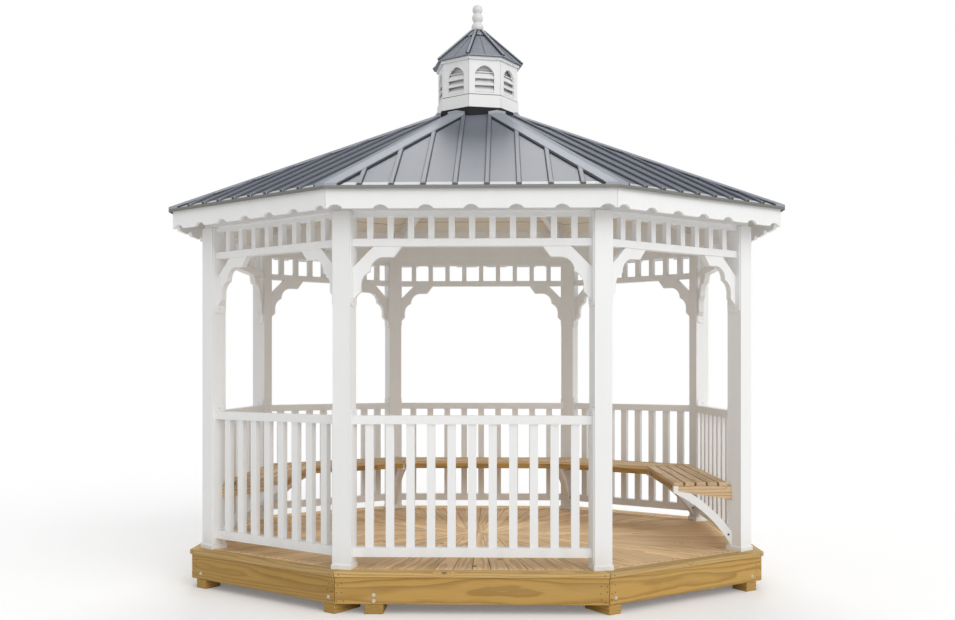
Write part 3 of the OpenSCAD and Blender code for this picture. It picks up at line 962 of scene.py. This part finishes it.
    def _fan_board(self, shop: Workshop, pivot: Vector, marks: list[Vector], ends: list[Vector],
                   bay: int) -> None:
        """One tapered board between two lines from a pivot, inside one sector.

        Args:
            shop: Where the board is made.
            pivot: Point where the lines of the fan meet.
            marks: Where the board's two lines reach the outer edge.
            ends: Outer corners of the sector.
            bay: The sector.
        """
        run = self.plan.along(bay)
        gap = run * self.board_gap / 2.0
        outer = [marks[0] + gap, marks[1] - gap]
        inner = [self._seam(pivot, mark, ends) for mark in outer]
        outline = [outer[0], outer[1], inner[1]]
        if self._splits(marks, pivot) and all(corner.length > self.board_gap for corner in inner):
            outline.append(self.plan.outward(bay) * self.board_gap)
        if (inner[0] - inner[1]).length > self.board_gap:
            outline.append(inner[0])
        outline = [lifted(point, self.plan.board_z) for point in outline]
        fibres = (marks[0] + marks[1] - 2.0 * pivot).normalized()
        shop.slab(outline, UP * (self.plan.deck_z - self.plan.board_z), self.ease / 2.0, fibres, UP)

    def _splits(self, marks: list[Vector], pivot: Vector) -> bool:
        """Whether the middle of the plan lies between the two lines of a board."""
        turns = [(mark - pivot).cross(-pivot).z for mark in marks]
        return turns[0] * turns[1] < 0.0

    def _seam(self, pivot: Vector, mark: Vector, ends: list[Vector]) -> Vector:
        """Where a line of the fan crosses the nearer seam of its sector.

        Args:
            pivot: Start of the line.
            mark: End of the line on the outer edge.
            ends: Outer corners of the sector.

        Returns:
            The point where the board starts.
        """
        line = mark - pivot
        best = 0.0
        for end in ends:
            spread = line.cross(end).z
            share = (-pivot).cross(end).z / spread if abs(spread) > 1e-6 else 0.0
            if 0.0 < share < 1.0:
                best = max(best, share)
        return pivot + line * min(1.0, best + self.board_gap / line.length)

    def bolts(self) -> None:
        """Hex bolts through the rim over each skid block, two over the front one."""
        shop = Workshop(29)
        for bay, start, width, _ in self.blocks():
            run, out = self.plan.along(bay), self.plan.outward(bay)
            spot = self.plan.corners[bay] + run * (start + width / 2.0) + out * self.plan.rim_edge
            for height in self.pair_heights if bay == Bay.FRONT.value else self.bolt_heights:
                foot = lifted(spot, self.plan.rim_z + height)
                shop.stud(foot, out, self.bolt_radius * 1.5, self.washer, 16)
                shop.stud(foot + out * self.washer, out, self.bolt_radius, self.bolt_head, 6, 0.93)
        shop.done("rim_bolts", ZINC, Slot.METAL)

    def nails(self) -> None:
        """Nail heads at the ends of the rim, nosing and floor boards."""
        shop = Workshop(31)
        head = (self.nail_radius, self.nail_head, self.nail_sides)
        along, up = self.edge_nail
        stray, stray_up = self.nail_stray
        for bay in range(SIDES):
            run, out = self.plan.along(bay), self.plan.outward(bay)
            for end, sign in ((0, 1.0), (1, -1.0)):
                rim = self.plan.corner(bay + end, self.plan.rim_edge)
                for inset in self.nail_insets:
                    for height in self.nail_heights:
                        spot = rim + run * sign * (inset + shop.draw.uniform(-stray, stray))
                        lift = self.plan.rim_z + height + shop.draw.uniform(-stray_up, stray_up)
                        shop.stud(lifted(spot, lift), out, *head)
                edge = self.plan.corner(bay + end, self.plan.deck_edge) + run * sign * along
                shop.stud(lifted(edge, self.plan.board_z + up), out, *head)
            self._floor_nails(shop, bay)
        shop.done("deck_nails", DARK, Slot.METAL)

    def _floor_nails(self, shop: Workshop, bay: int) -> None:
        """Two nails in the outer end of each floor board.

        Args:
            shop: Where the nails are made.
            bay: The sector of the floor.
        """
        ends = [self.plan.corner(bay + i, self.plan.floor_edge) for i in (0, 1)]
        count = round((ends[1] - ends[0]).length / self.board_width)
        inset = self.plan.outward(bay) * self.floor_nail_inset
        for number in range(count):
            for share in (0.28, 0.72):
                spot = ends[0].lerp(ends[1], (number + share) / count) - inset
                shop.stud(lifted(spot, self.plan.deck_z), UP, *self.floor_nail, self.nail_sides)


@dataclass
class Benches:
    """Slatted seats along five bays."""

    plan: Plan
    back: float = 0.074
    depth: float = 0.35
    thick: float = 0.025
    slats: int = 5
    gap: float = 0.011
    apron_height: float = 0.036
    arm_height: float = 0.085
    arm_tip: float = 0.032
    post: float = 0.105
    apron_thick: float = 0.030
    bracket: float = 0.040
    strut_bolt: float = 0.074
    strut_foot: float = 0.100
    ease: float = 0.003
    mitre_gap: float = 0.002
    arm_skin: float = 0.001
    arm_start: float = 0.45
    strut_stud: tuple[float, float, int, float] = (0.007, 0.004, 12, 0.8)
    screw: tuple[float, float, int] = (0.004, 0.0008, 8)
    screw_inset: float = 0.022
    screw_shares: tuple[float, float] = (0.3, 0.7)

    def build(self) -> None:
        """Makes the seats, the boards under them and the screws in them."""
        for bay in Bay:
            if bay.seated:
                self.seat(bay)
        self.aprons()
        self.arms()
        self.screws()

    def ends_at(self, number: int) -> bool:
        """Whether the seats end at a post."""
        return number in (Bay.RIGHT.value, Bay.LEFT.value + 1)

    def way(self, number: int) -> Vector:
        """Outward direction of a bracket.

        Args:
            number: The bracket's post.

        Returns:
            The direction, square to the bay where the seats end and midway between two bays elsewhere.
        """
        if self.ends_at(number):
            return self.plan.outward(min(number, Bay.LEFT.value))
        return (self.plan.outward(number - 1) + self.plan.outward(number)).normalized()

    def corner(self, number: int, bay: int, inset: float) -> Vector:
        """Where a line at an inset from a bay meets the line of a post's bracket."""
        way = self.way(number)
        return self.plan.corners[number] - way * inset / way.dot(self.plan.outward(bay))

    def board(self, shop: Workshop, bay: int, edges: tuple[float, float], past: float, low: float,
              rise: float, face: Vector) -> None:
        """One board along a bay, mitred where the seats go on round the plan.

        Args:
            shop: Where the board is made.
            bay: The bay.
            edges: Insets of the board's back and front edge.
            past: How far it runs on past the bracket where the seats end.
            low: Height of its first face.
            rise: Thickness up from that face, or down.
            face: Outward direction of its wide face.
        """
        run = self.plan.along(bay)
        over = [past if self.ends_at(bay + i) else -self.mitre_gap for i in (0, 1)]
        first = [self.corner(bay, bay, edge) - run * over[0] for edge in edges]
        last = [self.corner(bay + 1, bay, edge) + run * over[1] for edge in edges]
        outline = [lifted(p, low) for p in (first[0], last[0], last[1], first[1])]
        shop.slab(outline, UP * rise, self.ease, run, face)

    def lines(self) -> list[tuple[float, float]]:
        """Places of the slats across a seat.

        Returns:
            Insets of the back and front edge of each slat.
        """
        width = (self.depth - (self.slats - 1) * self.gap) / self.slats
        starts = [self.back + i * (width + self.gap) for i in range(self.slats)]
        return [(start, start + width) for start in starts]

    def seat(self, bay: Bay) -> None:
        """Slats of one seat.

        Args:
            bay: The bay of the bench.
        """
        node = f"bench_{bay.name.lower()}"
        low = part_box(node)[1].z - self.thick
        shop = Workshop(40 + bay.value)
        for edges in self.lines():
            self.board(shop, bay.value, edges, self.bracket / 2.0, low, self.thick, UP)
        shop.done(f"bench_slats_{bay.name.lower()}", SEAT_PINE, Slot.PINE, [node])

    def aprons(self) -> None:
        """Boards under the front edges, mitred into one line round the seats."""
        shop = Workshop(51)
        front = self.back + self.depth
        edges = (front, front - self.apron_thick)
        past = -self.bracket / 2.0 - self.arm_skin
        for bay in Bay:
            if bay.seated:
                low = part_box(f"bench_{bay.name.lower()}")[1].z - self.thick
                inward = -self.plan.outward(bay.value)
                self.board(shop, bay.value, edges, past, low, -self.apron_height, inward)
        shop.done("bench_aprons", APRON_PINE, Slot.PINE)

    def arms(self) -> None:
        """Pine arms under the seats, over the bracket at each post."""
        shop = Workshop(52)
        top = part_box("bench_right")[1].z - self.thick
        for number in range(Bay.RIGHT.value, SIDES):
            inward = -self.way(number)
            side = inward.cross(UP) * (self.bracket / 2.0 + self.arm_skin)
            near = self.plan.corners[number] + inward * (self.post * self.arm_start)
            far = self.corner(number, min(number, Bay.LEFT.value), self.back + self.depth - self.apron_thick)
            tip, root = (top - drop - 2.0 * self.arm_skin for drop in (self.arm_tip, self.arm_height))
            marks = ((near, top), (far, top), (far, tip), (near, root))
            outline = [lifted(point, height) - side for point, height in marks]
            shop.slab(outline, side * 2.0, self.arm_skin, inward, side.normalized())
        shop.done("bracket_arms", SEAT_PINE, Slot.PINE)

    def screws(self) -> None:
        """Screw heads where the slats lie on the brackets."""
        shop = Workshop(53)
        for bay in Bay:
            if not bay.seated:
                continue
            number = bay.value
            run = self.plan.along(number)
            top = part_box(f"bench_{bay.name.lower()}")[1].z
            for start, end in self.lines():
                for share in self.screw_shares:
                    inset = start + (end - start) * share
                    for end_number, sign in ((number, 1.0), (number + 1, -1.0)):
                        spot = self.corner(end_number, number, inset) + run * sign * self.screw_inset
                        shop.stud(lifted(spot, top), UP, *self.screw)
        for number in range(Bay.RIGHT.value, SIDES):
            inward = -self.way(number)
            side = inward.cross(UP)
            bolt = self.plan.corners[number] + inward * self.strut_bolt
            foot = lifted(bolt, self.plan.deck_z + self.strut_foot)
            for way in (side, -side):
                shop.stud(foot + way * self.bracket / 2.0, way, *self.strut_stud)
        shop.done("bench_screws", DARK, Slot.METAL)


@dataclass
class PostTrim:
    """Flared skirts and mounting strips on the posts."""

    plan: Plan
    width: float = 0.105
    skirt: float = 0.119
    skirt_height: float = 0.024
    flare: float = 0.007
    strip: float = 0.094
    strip_thick: float = 0.007
    round_end: float = 0.024
    brace_drop: float = 0.309
    below_brace: float = 0.042
    above_rail: float = 0.052
    top_gap: float = 0.004
    ease: float = 0.0015
    screw: tuple[float, float, int] = (0.005, 0.0012, 8)
    screw_drop: float = 1.3
    turns: tuple[float, float, float, float] = (13.0, 39.0, 70.0, 28.0)

    def build(self) -> None:
        """Makes the trim of every post."""
        self.flares()
        self.strips()

    def turn(self, number: int) -> float:
        """Heading of a post's first face.

        Args:
            number: The post.

        Returns:
            The angle in degrees.
        """
        front, side, back_side, back = self.turns
        headings = (
            -90 - front, -90 + front, -90 + side, 90 - back_side,
            90 - back, 90 + back, 90 + back_side, -90 - side)
        return headings[number]

    def flares(self) -> None:
        """Sloped tops over the skirts."""
        shop = Workshop(61)
        root = math.sqrt(2.0)
        foot = self.plan.deck_z + self.skirt_height
        taper = (self.width + 0.002) / self.skirt
        for number, corner in enumerate(self.plan.corners):
            spin = self.turn(number) + 45.0
            shop.stud(lifted(corner, foot), UP, self.skirt / root, self.flare, 4, taper, spin)
        shop.done("post_skirt_flares", WHITE, Slot.TRIM)

    def strips(self) -> None:
        """Strips that hold the railings and the braces, with rounded ends and screws."""
        shop = Workshop(67)
        heads = Workshop(71)
        foot = self.plan.deck_z + self.skirt_height + self.flare
        brace_low = self.plan.head_z - self.brace_drop - self.below_brace
        for number in range(SIDES):
            for bay, way in ((Bay(number), 1.0), (Bay((number - 1) % SIDES), -1.0)):
                normal = self._face(number, self.plan.along(bay.value) * way)
                self._strip(shop, heads, number, normal, self.plan.plate_z - self.top_gap, brace_low)
                if bay.railed:
                    self._strip(shop, heads, number, normal, foot, self.plan.rail_z + self.above_rail)
        shop.done("post_strips", WHITE, Slot.TRIM)
        heads.done("strip_screws", ZINC, Slot.METAL)

    def _face(self, number: int, way: Vector) -> Vector:
        """Normal of the post face that looks along a bay."""
        angles = [math.radians(self.turn(number) + 90.0 * i) for i in range(4)]
        return max((Vector((math.cos(a), math.sin(a), 0.0)) for a in angles), key=way.dot)

    def _strip(self, shop: Workshop, heads: Workshop, number: int, normal: Vector, flat: float,
               tip: float) -> None:
        """One strip with a rounded end and a screw near it.

        Args:
            shop: Where the strip is made.
            heads: Where its screw is made.
            number: The post.
            normal: The way its face looks.
            flat: Height of the square end.
            tip: Height of the rounded end.
        """
        side = normal.cross(UP) * self.strip / 2.0
        centre = self.plan.corners[number] + normal * self.width / 2.0
        swing = math.copysign(self.round_end, tip - flat)
        arc = [math.pi * i / 8.0 for i in range(9)]
        outline = [lifted(centre, flat) - side, lifted(centre, flat) + side]
        outline += [lifted(centre + side * math.cos(a), tip - swing * (1.0 - math.sin(a))) for a in arc]
        shop.slab(outline, normal * self.strip_thick, self.ease)
        screw = lifted(centre + normal * self.strip_thick, tip - swing * self.screw_drop)
        heads.stud(screw, normal, *self.screw)


@dataclass
class RoofMetal:
    """Rib covers, dark strips of painted shade at their feet and along the hip caps, cap ends, and eave lips
    painted as shade, of the main roof.
    """

    plan: Plan
    ribs_per_slope: int = 8
    rib_end: float = 0.200
    rib_width: float = 0.026
    rib_height: float = 0.0135
    rib_gap: float = 0.0025
    rib_ease: float = 0.003
    # Width and height of the painted-shade strips at the feet of the ribs.
    seam: float = 0.003
    seam_height: float = 0.002
    set_in: float = 0.004
    cap_half: float = 0.066
    # Width, height and top of the painted-shade strips along the hip caps.
    cap_edge_shade: float = 0.013
    cap_edge_shade_height: float = 0.009
    cap_edge_shade_stop: float = 0.05
    lip_drop: float = 0.021
    collar: float = 0.283
    lip_thick: float = 0.003
    lip_mitre: float = 0.012
    lip_lap: float = 0.001
    upturn: float = 0.030
    upturn_at: float = 0.300
    upturn_thick: float = 0.003

    def build(self) -> None:
        """Makes the metal pieces of the roof."""
        slopes = [Slope(self.plan, bay) for bay in range(SIDES)]
        self.ribs(slopes)
        self.cap_edge_shades(slopes)
        self.upturns(slopes)
        self.lips(slopes)

    def ribs(self, slopes: list[Slope]) -> None:
        """Covers with eased edges over the ribs of each slope, and dark strips at their feet that paint the
        shade on the ribs' flanks.

        Args:
            slopes: The eight slopes.
        """
        shop, seams = Workshop(73), Workshop(79)
        for slope in slopes:
            first, last = slope.ends[0] + self.rib_end, slope.ends[1] - self.rib_end
            for number in range(self.ribs_per_slope):
                across = first + (last - first) * number / (self.ribs_per_slope - 1)
                self._rib(shop, slope, across, self.rib_width, self.rib_height, self.rib_ease)
                self._rib(seams, slope, across, self.rib_width + 2.0 * self.seam, self.seam_height, 0.0)
        shop.done("roof_ribs", ROOF, Slot.METAL)
        seams.done("rib_flank_shade_strips", RIB_FLANK_SHADE, Slot.METAL)

    def _rib(self, shop: Workshop, slope: Slope, across: float, width: float, height: float,
             ease: float) -> None:
        """One rib or seam from the eave to the hip cap or the cupola.

        Args:
            shop: Where the rib is made.
            slope: The slope that it runs up.
            across: Its place along the eave.
            width: Its width.
            height: Its height over the sheet.
            ease: Width of its eased edges.
        """
        half = width / 2.0
        foot = slope.depth - self.set_in
        sides = (across - half, across + half)
        tops = [self._stop(slope, side) for side in sides]
        outline = [
            slope.point(sides[0], foot), slope.point(sides[1], foot),
            slope.point(sides[1], tops[1]), slope.point(sides[0], tops[0])]
        rise = UP * (height / slope.normal.z)
        shop.slab(outline, rise, ease, (slope.out + UP * -slope.fall).normalized())

    def _stop(self, slope: Slope, across: float) -> float:
        """Where the edge of a rib stops, beside the hip cap or the cupola.

        Args:
            slope: The rib's slope.
            across: Place of the edge along the eave.

        Returns:
            The radius.
        """
        end = slope.ends[1] if across > 0 else slope.ends[0]
        clear = (self.cap_half + self.rib_gap) * math.hypot(end, slope.depth) / abs(end)
        return max(slope.hip(across) + clear, self.collar)

    def cap_edge_shades(self, slopes: list[Slope]) -> None:
        """Dark strips along both edges of each hip cap, painted as the shade under the cap's raised edges.

        Args:
            slopes: The eight slopes.
        """
        shop = Workshop(83)
        for slope in slopes:
            for end, sign in ((slope.ends[0], 1.0), (slope.ends[1], -1.0)):
                spread = sign * math.hypot(end, slope.depth) / slope.depth
                foot, top = slope.depth - self.set_in, self.collar + self.cap_edge_shade_stop
                near, far = (spread * edge for edge in (self.cap_half, self.cap_half + self.cap_edge_shade))
                marks = ((foot, near), (foot, far), (top, far), (top, near))
                outline = [slope.point(end * radius / slope.depth + edge, radius) for radius, edge in marks]
                shop.slab(outline, UP * self.cap_edge_shade_height, 0.0)
        shop.done("hip_cap_edge_shade", SEAM_SHADE, Slot.METAL)

    def upturns(self, slopes: list[Slope]) -> None:
        """Top ends of the hip caps, turned up against the cupola, in the lighter hip-cap paint that stands
        for the light on the caps.

        Args:
            slopes: The eight slopes.
        """
        shop = Workshop(87)
        for number in range(SIDES):
            out = self.plan.corner(number, self.plan.eave_out).normalized()
            side = out.cross(UP) * self.cap_half
            foot = [
                slopes[bay].drop(out * self.upturn_at + side * way)
                for bay, way in ((number - 1, 1.0), (number, 0.0), (number, -1.0))]
            outline = [*foot, *(point + UP * self.upturn for point in reversed(foot))]
            shop.slab(outline, out * self.upturn_thick, 0.0)
        shop.done("cap_upturns", LIT_CAP, Slot.METAL)

    def lips(self, slopes: list[Slope]) -> None:
        """Dark turned-down lips along the eaves, painted as the shade between the eave and the fascia.

        Args:
            slopes: The eight slopes.
        """
        shop = Workshop(89)
        for slope in slopes:
            edge, (first, last) = slope.depth - self.lip_lap, slope.ends
            inner = edge - self.lip_thick
            marks = (
                (first, edge), (last, edge), (last - self.lip_mitre, inner), (first + self.lip_mitre, inner))
            outline = [slope.point(across, radius) + UP * self.lip_lap for across, radius in marks]
            shop.slab(outline, UP * -self.lip_drop, 0.0)
        shop.done("eave_lip_shade", EAVE_SHADE, Slot.METAL)


@dataclass
class CupolaTrim:
    """Louvres, cornice, near-black flashing that also paints shade, and roof seams with painted shade beside
    them, of the cupola.
    """

    turn: float = 12.0
    radius: float = 0.288
    wall: float = 0.018
    arch: float = 0.134
    sill: float = 0.020
    slats: int = 4
    slat_drop: float = 0.046
    slat_thick: float = 0.006
    slat_depth: float = 0.038
    slat_lap: float = 1.04
    slat_gap: float = 0.001
    top_slat: float = 0.024
    lining: float = 0.235
    lining_inset: float = 0.01
    lining_thick: float = 0.004
    cornice_out: float = 0.014
    cornice_height: float = 0.020
    edge: float = 0.008
    top_radius: float = 0.040
    seam: float = 0.016
    seam_share: float = 0.3
    seam_rise: float = 0.006
    seam_ends: tuple[float, float] = (0.0, 0.985)
    hip_rise: float = 0.013
    # Width of the painted-shade strip beside each hip seam.
    hip_shade: float = 0.006
    hip_foot: tuple[float, float] = (0.010, 0.012)
    hip_foot_lift: float = 0.004
    neck: tuple[float, float, int] = (0.038, 0.007, 24)
    neck_sink: float = 0.001
    collar: tuple[float, float] = (0.80, 1.0)
    collar_lift: float = 0.007
    # Place and lift of the painted-shade ring under the collar.
    collar_shade: tuple[float, float] = (0.76, 0.82)
    collar_shade_lift: float = 0.005
    collar_thick: float = 0.006
    flashing_out: float = 0.003
    flashing_lap: float = 0.004
    base_show: float = 0.085
    joint: float = 0.006
    skin: float = 0.002
    low: float = field(init=False)
    wall_top: float = field(init=False)
    top: float = field(init=False)
    eave: float = field(init=False)
    face: float = field(init=False)

    def __post_init__(self) -> None:
        """Reads the heights of the cupola."""
        self.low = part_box("cupola_walls")[0].z
        self.wall_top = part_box("cupola_walls")[1].z
        self.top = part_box("cupola_roof")[1].z
        self.eave = self._corner_radius("cupola_roof")
        self.face = self.radius * math.cos(math.pi / SIDES)

    def _corner_radius(self, node: str) -> float:
        """Corner radius of an eight-sided node of the cupola."""
        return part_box(node)[1].x / math.cos(math.radians(self.turn - 22.5))

    def build(self) -> None:
        """Makes the trim of the cupola."""
        self.louvres()
        self.cornice()
        self.joints()
        self.flashing()
        self.seams()

    def heading(self, number: float) -> Vector:
        """The way a wall of the cupola looks."""
        angle = math.radians(self.turn - 90.0 + number * 360.0 / SIDES)
        return Vector((math.cos(angle), math.sin(angle), 0.0))

    def louvres(self) -> None:
        """Sloping slats in each opening, with a lining behind them."""
        shop = Workshop(101)
        for number in range(SIDES):
            out = self.heading(number)
            for slat in range(self.slats):
                top = slat == self.slats - 1
                set_back = self.wall + self.slat_gap if top else 2.0 * self.slat_gap
                rise = self.top_slat if top else self.slat_drop * self.slat_lap
                foot = self.low + self.sill + slat * self.slat_drop
                side = out.cross(UP) * (self.arch / 2.0 - self.slat_gap)
                front = out * (self.face - set_back) + UP * foot
                back = front - out * self.slat_depth + UP * rise
                push = (back - front).cross(side).normalized() * self.slat_thick
                shop.slab([front - side, front + side, back + side, back - side], push, self.slat_gap)
        heights = (self.low + self.lining_inset, self.wall_top - self.lining_inset)
        self._ring(shop, (self.lining, self.lining), heights, self.lining_thick)
        shop.done("louvre_slats", WHITE, Slot.TRIM, ["cupola_louvers"])

    def _ring(self, shop: Workshop, radii: tuple[float, float], heights: tuple[float, float],
              thick: float) -> None:
        """Eight sloping boards round the cupola.

        Args:
            shop: Where they are made.
            radii: Corner radii of the lower and the upper edge.
            heights: Heights of the two edges.
            thick: Thickness inwards.
        """
        for number in range(SIDES):
            corners = [self.heading(number + i) for i in (-0.5, 0.5)]
            low = [c * radii[0] + UP * heights[0] for c in corners]
            high = [c * radii[1] + UP * heights[1] for c in corners]
            shop.slab([low[0], low[1], high[1], high[0]], self.heading(number) * -thick, 0.0)

    def cornice(self) -> None:
        """White boards under the cupola roof."""
        shop = Workshop(103)
        reach = self.radius + self.cornice_out
        heights = (self.wall_top - self.cornice_height, self.wall_top - 0.001)
        self._ring(shop, (reach, reach), heights, self.cornice_out)
        shop.done("cupola_cornice", WHITE, Slot.TRIM)

    def joints(self) -> None:
        """Dark joint over the base, dark blocks at the feet of the hip seams painted as the shade in their
        open ends, and a dark neck under the finial.
        """
        shop = Workshop(105)
        ledge = self.radius + self.skin
        self._ring(shop, (ledge, ledge), (self.low, self.low + self.joint), self.skin)
        shop.stud(UP * (self.top - self.neck_sink), UP, *self.neck)
        # The hip-foot blocks are painted shade for the open ends of the hip seams.
        size, length = self.hip_foot
        for number in range(SIDES):
            out = self.heading(number + 0.5)
            foot = out * (self.eave - length) + UP * (self.wall_top + self.edge + self.hip_foot_lift)
            shop.stud(foot, out, size, length, 4, 1.0, 45.0)
        shop.done("cupola_joints_and_end_shade", DARK, Slot.METAL)

    def flashing(self) -> None:
        """Near-black flashing between the roof and the white part of the base, painted as dark as the shade
        there.
        """
        shop = Workshop(109)
        reach = self._corner_radius("cupola_base") + self.flashing_out
        heights = (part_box("cupola_base")[0].z - self.flashing_lap, self.low - self.base_show)
        self._ring(shop, (reach, reach), heights, self.flashing_out)
        shop.done("cupola_flashing", FLASHING_SHADE, Slot.METAL)

    def seams(self) -> None:
        """Hip seams, a seam up each slope and a collar near the top, with dark strips beside them that paint
        the shade of the raised seams.
        """
        shop, dark = Workshop(107), Workshop(108)
        low_z = self.wall_top + self.edge
        for number in range(SIDES):
            for step, height in ((0.5, self.hip_rise), (0.0, self.seam_rise)):
                out = self.heading(number + step)
                scale = 1.0 if step else math.cos(math.pi / SIDES)
                rows = [
                    out * (self.eave + (self.top_radius - self.eave) * s) * scale
                    + UP * (low_z + (self.top - low_z) * s) for s in self.seam_ends]
                half = out.cross(UP) * (self.seam if step else self.seam * self.seam_share) / 2.0
                outline = [rows[0] - half, rows[0] + half, rows[1] + half, rows[1] - half]
                normal = half.normalized().cross(rows[1] - rows[0]).normalized()
                up = normal * math.copysign(1.0, normal.z)
                shop.slab(outline, up * height, 0.002)
                # The dark strips beside the hip seams and under the collar are painted shade.
                if step:
                    half = half + half.normalized() * self.hip_shade
                    outline = [rows[0] - half, rows[0] + half, rows[1] + half, rows[1] - half]
                    dark.slab(outline, up * height * 0.4, 0.0)
        collars = (
            (shop, self.collar, self.collar_lift), (dark, self.collar_shade, self.collar_shade_lift))
        for piece, shares, lift in collars:
            reach = tuple(self.eave + (self.top_radius - self.eave) * s + lift for s in shares)
            heights = tuple(low_z + (self.top - low_z) * s for s in shares)
            self._ring(piece, reach, heights, self.collar_thick)
        shop.done("cupola_seams", LIT_CUPOLA_HIP, Slot.METAL)
        dark.done("cupola_seam_shade", SEAM_SHADE, Slot.METAL)


@dataclass(frozen=True)
class Lamp:
    """A broad lamp: its strength, its angular width in degrees and the way its light travels."""

    name: str
    energy: float
    spread: float
    aim: Colour

    def hang(self) -> None:
        """Puts the lamp into the scene."""
        lamp = bpy.data.lights.new(self.name, "SUN")
        lamp.energy = self.energy
        lamp.angle = math.radians(self.spread)
        holder = bpy.data.objects.new(self.name, lamp)
        holder.rotation_euler = Vector(self.aim).to_track_quat("-Z", "Y").to_euler()
        bpy.context.scene.collection.objects.link(holder)


@dataclass
class Studio:
    """Floor, light and camera, with a soft key, a low fill and a rear lamp for the roof's sheen."""

    photo_width: int = 955
    photo_height: int = 620
    focal_px: float = 1000.0
    stand_off: float = 7.130
    swing: float = -0.0234
    eye: float = 1.367
    horizon_px: float = 374.6
    floor_half: float = 60.0
    sky: float = 0.57
    glow: float = 0.15
    lamps: tuple[Lamp, ...] = (
        Lamp("key_light", 0.88, 50.0, (-0.88, 0.85, -0.8)),
        Lamp("fill_light", 0.75, 70.0, (-0.35, 1.0, -0.14)),
        Lamp("rear_light", 0.78, 24.0, (0.0, -0.70, -0.75)))

    def build(self) -> None:
        """Sets the stage."""
        bpy.context.scene.view_settings.view_transform = "Standard"
        self.floor()
        self.world()
        for lamp in self.lamps:
            lamp.hang()
        self.camera()

    def floor(self) -> None:
        """Pale floor that stays white for the camera and keeps the shadow."""
        mesh = bmesh.new()
        bmesh.ops.create_grid(mesh, x_segments=1, y_segments=1, size=self.floor_half)
        data = bpy.data.meshes.new("studio_floor")
        mesh.to_mesh(data)
        mesh.free()
        material = bpy.data.materials.new("studio_floor")
        material.use_nodes = True
        shader = material.node_tree.nodes["Principled BSDF"]
        shader.inputs["Base Color"].default_value = (0.90, 0.90, 0.90, 1.0)
        shader.inputs["Roughness"].default_value = 0.9
        shader.inputs["Specular IOR Level"].default_value = 0.0
        graph = Graph(material.node_tree)
        glow = graph.add(
            "ShaderNodeEmission", None,
            {"Color": (1.0, 1.0, 1.0, 1.0), "Strength": self._seen(graph) * self.glow})
        both = graph.add("ShaderNodeAddShader", None, {0: Sock(graph, shader.outputs[0]), 1: glow})
        output = material.node_tree.nodes["Material Output"]
        material.node_tree.links.new(both.socket, output.inputs["Surface"])
        data.materials.append(material)
        floor = bpy.data.objects.new("studio_floor", data)
        bpy.context.scene.collection.objects.link(floor)

    def _seen(self, graph: Graph) -> Sock:
        """Tells rays that show the background from those that light the part.

        Args:
            graph: The graph of the floor or the world.

        Returns:
            1 for rays that show it, and 0 for the others.
        """
        path = graph.tree.nodes.new("ShaderNodeLightPath")
        kinds = ("Is Camera Ray", "Is Glossy Ray", "Is Transmission Ray")
        rays = [Sock(graph, path.outputs[kind]) for kind in kinds]
        return rays[0].at_least(rays[1]).at_least(rays[2])

    def world(self) -> None:
        """White to look at, and a softer white as light."""
        world = bpy.data.worlds.new("studio_world")
        world.use_nodes = True
        bpy.context.scene.world = world
        graph = Graph(world.node_tree)
        seen = self._seen(graph)
        back = world.node_tree.nodes["Background"]
        back.inputs["Color"].default_value = (1.0, 1.0, 1.0, 1.0)
        strength = seen * (1.0 - self.sky) + self.sky
        world.node_tree.links.new(strength.socket, back.inputs["Strength"])

    def camera(self) -> None:
        """Level camera at the photograph's place, shifted to its horizon."""
        data = bpy.data.cameras.new("photo_camera")
        data.sensor_width = 36.0
        data.lens = data.sensor_width * self.focal_px / self.photo_width
        data.shift_y = (self.horizon_px - self.photo_height / 2.0) / self.photo_width
        camera = bpy.data.objects.new("photo_camera", data)
        camera.location = (
            -math.sin(self.swing) * self.stand_off, -math.cos(self.swing) * self.stand_off, self.eye)
        camera.rotation_euler = (math.pi / 2.0, 0.0, -self.swing)
        bpy.context.scene.collection.objects.link(camera)
        bpy.context.scene.camera = camera


def dress_frame() -> None:
    """Gives every CAD node that stays in view its finish."""
    metal = {"roof_sheet": SHEET, "hip_caps": LIT_CAP, "cupola_roof": CUPOLA_ROOF}
    white = {"ceiling": PLANKS, "finial": FINIAL}
    pine = {
        "skids": RIM_PINE, "rim_joists": RIM_PINE, "deck_border": NOSING_PINE, "deck_floor": LIT_DECK_PINE}
    for name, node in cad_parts.items():
        finish = metal.get(name) or pine.get(name) or white.get(name, WHITE)
        if name.startswith("bench_") and name != "bench_brackets":
            finish = SEAT_PINE
        node.data.materials.clear()
        node.data.materials.append(finish.material())
        LOG.info("%s: %s", name, finish.name)


def main() -> None:
    """Builds the gazebo's looks and its stage."""
    logging.basicConfig(level=logging.INFO, format="%(name)s %(message)s")
    dress_frame()
    Base(PLAN).build()
    Benches(PLAN).build()
    PostTrim(PLAN).build()
    RoofMetal(PLAN).build()
    CupolaTrim().build()
    Studio().build()


if __name__ == "__main__":
    main()
